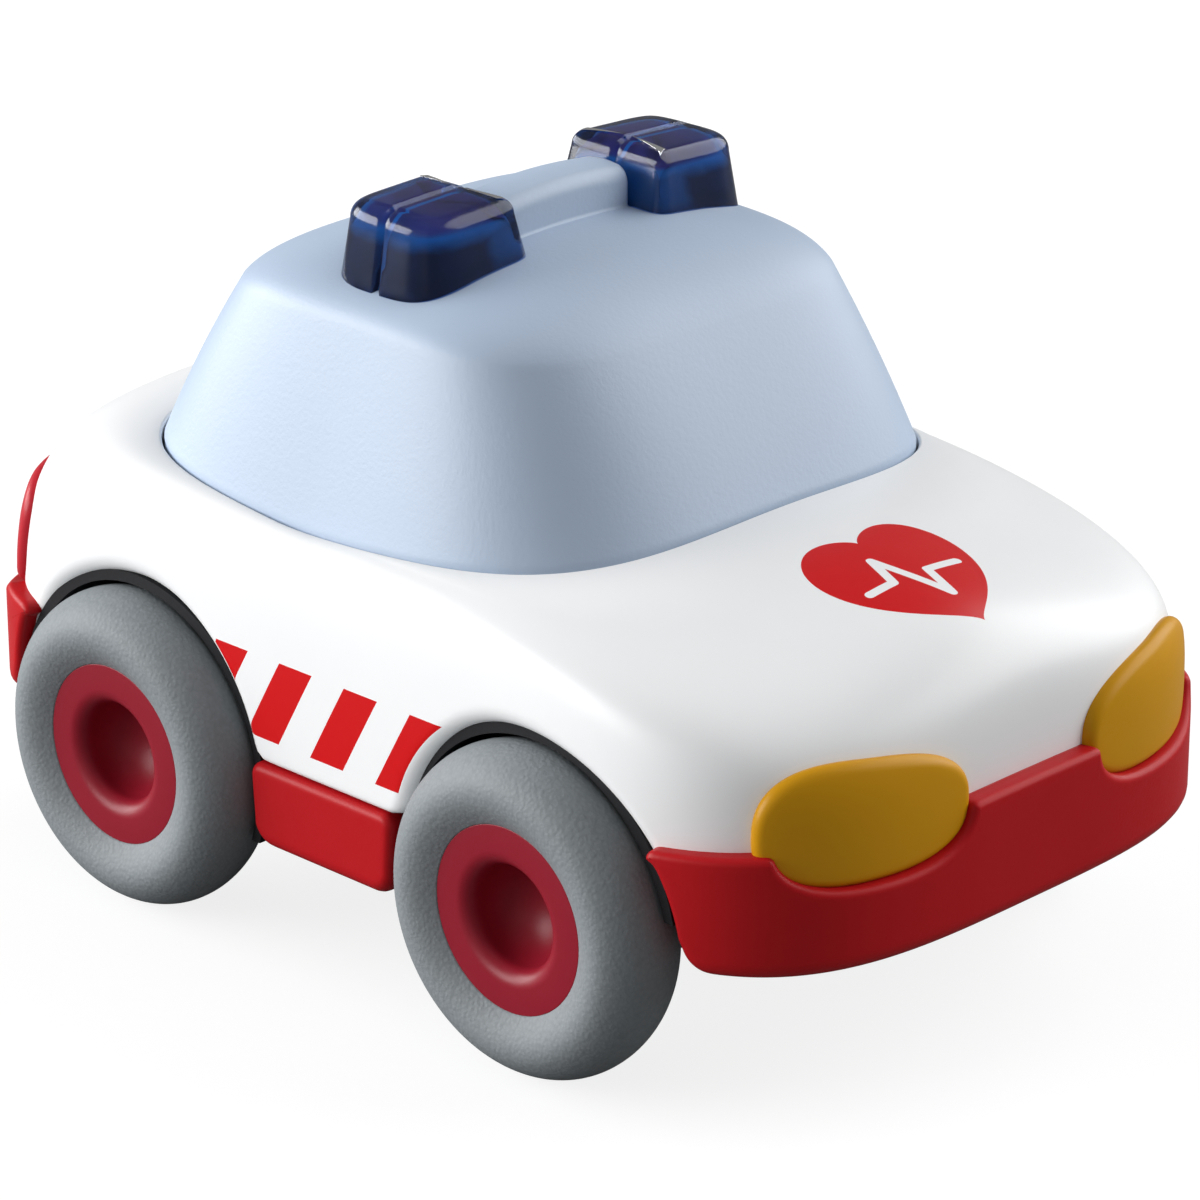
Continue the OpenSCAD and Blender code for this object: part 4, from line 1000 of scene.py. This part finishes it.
# Tyre: a round section, wider inwards, whose outer side bends by one cubic curve to meet the hub's ring
def tyreProfile():
    w = wheelSpec
    core = w["tyreRadius"] - w["section"]
    limit = np.arccos((w["hubRadius"] - core) / w["section"])
    last = np.radians(w["roundTo"])
    q = np.linspace(-limit, last, w["ringRows"])
    across = np.where(q < 0.0, w["inward"], 1.0) * w["section"] * np.sin(q)
    ring = join(core + w["section"] * np.cos(q), w["middleY"] + across)
    begin, tip = ring[-1], np.array([w["lipTip"], w["lipY"]])
    lead = begin + w["roundLead"] * np.array([-np.sin(last), np.cos(last)])
    table = [begin, lead, tip + np.array(w["lipLead"]), tip]
    lip = bezier(table, np.linspace(0.0, 1.0, w["lipRows"])[1:])
    seatY = w["lipY"] - w["seatDeep"]
    return np.concatenate([ring, lip, [[w["lipTip"], seatY], [w["hubRadius"], seatY]], ring[:1]])


for end in ("front", "rear"):
    place = (car[end + "X"], car["axleZ"], wheelSpec["steps"])
    for part, profile in (("hub", hubProfile()), ("tyre", tyreProfile())):
        sheet = turnedSheet(profile, *place)
        makePair(end + part.title() + "{}", [sheet], part, end + "_" + part + "_{}", end + "_wheelset")

# Carried-over CAD pieces get their finish
carried = {"chassis": "under", "chassis_screws": "steel", "motor_screws": "steel", "motor_case_right": "case",
           "motor_case_left": "case", "front_axle": "steel", "rear_axle": "steel", "drive_gear": "gear",
           "cluster_gear": "gear", "cluster_shaft": "steel", "flywheel": "iron", "flywheel_arbor": "steel"}
for name, finish in carried.items():
    node = frame["nodes"][name]
    node.data.materials.clear()
    node.data.materials.append(finishes[finish])
print("carried over:", len(carried))

# Floor, light levels and lamps, in metres and watts
stageSpec = {
    "floorSize": 6.0, "floorTint": (0.22, 0.22, 0.222), "floorRough": 0.9, "floorGlow": 0.83,
    "worldLevel": 0.215, "clearLevel": 0.7, "aim": (0.0, 0.0, 0.03),
    "lamps": {
        "left": {"place": (-0.76, -0.60, 0.30), "wide": 1.2, "high": 0.5, "power": 17.2},
        "right": {"place": (0.36, 0.80, 0.54), "wide": 1.3, "high": 0.9, "power": 13.0},
        "top": {"place": (0.10, -0.05, 0.95), "wide": 1.0, "high": 1.0, "power": 0.8},
        "front": {"place": (0.20, -0.95, 0.35), "wide": 0.9, "high": 0.6, "power": 0.6},
    },
}


# Floor: pale, with a glow that only the camera sees, so that the background is white and the shadow stays
def layFloor():
    s = stageSpec
    side = s["floorSize"] / 2.0
    mesh = bpy.data.meshes.new("floor")
    corners = [(-side, -side, 0), (side, -side, 0), (side, side, 0), (-side, side, 0)]
    mesh.from_pydata(corners, [], [(0, 1, 2, 3)])
    addObject("floor", mesh)
    material, wire, shader = newMaterial("floorPale")
    setSockets(shader, base=colour(*s["floorTint"]), rough=s["floorRough"], specular=0.0)
    glow = wire.node("ShaderNodeLightPath", output="Is Camera Ray") * s["floorGlow"]
    glow = wire.node("ShaderNodeEmission", None, {"Color": colour(1, 1, 1), "Strength": glow})
    pale = Wire(material.node_tree, shader.outputs[0])
    total = wire.node("ShaderNodeAddShader", None, {0: pale, 1: glow})
    setSocket(material.node_tree.nodes["Material Output"], "Surface", total)
    mesh.materials.append(material)


# Lamps: four soft rectangles that aim at the car
def hangLamps():
    for name, spec in stageSpec["lamps"].items():
        lamp = bpy.data.lights.new(name, "AREA")
        lamp.shape, lamp.energy = "RECTANGLE", spec["power"]
        lamp.size, lamp.size_y = spec["wide"], spec["high"]
        holder = addObject(name, lamp)
        holder.location, holder.visible_camera = spec["place"], False
        aim = Vector(stageSpec["aim"]) - holder.location
        holder.rotation_euler = aim.to_track_quat("-Z", "Y").to_euler()


# World: white to the camera, brighter through clear plastic, a plain soft level for the rest
def setWorld():
    s = stageSpec
    world = bpy.data.worlds.new("studio")
    bpy.context.scene.world = world
    world.use_nodes = True
    wire = Wire(world.node_tree)
    seen = wire.node("ShaderNodeLightPath", output="Is Camera Ray")
    through = wire.node("ShaderNodeLightPath", output="Is Transmission Ray")
    level = seen * (1.0 - s["worldLevel"]) + through * s["clearLevel"] + s["worldLevel"]
    back = world.node_tree.nodes["Background"]
    setSocket(back, "Color", colour(1, 1, 1))
    setSocket(back, "Strength", level)


layFloor()
hangLamps()
setWorld()
bpy.context.scene.view_settings.view_transform = "Standard"
print("studio ready")

cameraSpec = {"place": (0.30094, -0.3068, 0.1975), "azimuth": 44.33, "elevation": 21.59,
              "lens": 154.65, "sensor": 36.0, "clip": (0.01, 20.0)}


# Camera at the photograph's place: azimuth 0 looks along +Y
def takeView():
    c = cameraSpec
    a, e = np.radians(c["azimuth"]), np.radians(c["elevation"])
    back = Vector((np.sin(a) * np.cos(e), -np.cos(a) * np.cos(e), np.sin(e)))
    data = bpy.data.cameras.new("view")
    data.lens, data.sensor_width = c["lens"], c["sensor"]
    data.clip_start, data.clip_end = c["clip"]
    holder = addObject("view", data)
    holder.location = c["place"]
    holder.rotation_euler = (-back).to_track_quat("-Z", "Y").to_euler()
    bpy.context.scene.camera = holder
    print("camera set")


takeView()

bpy.context.view_layer.update()
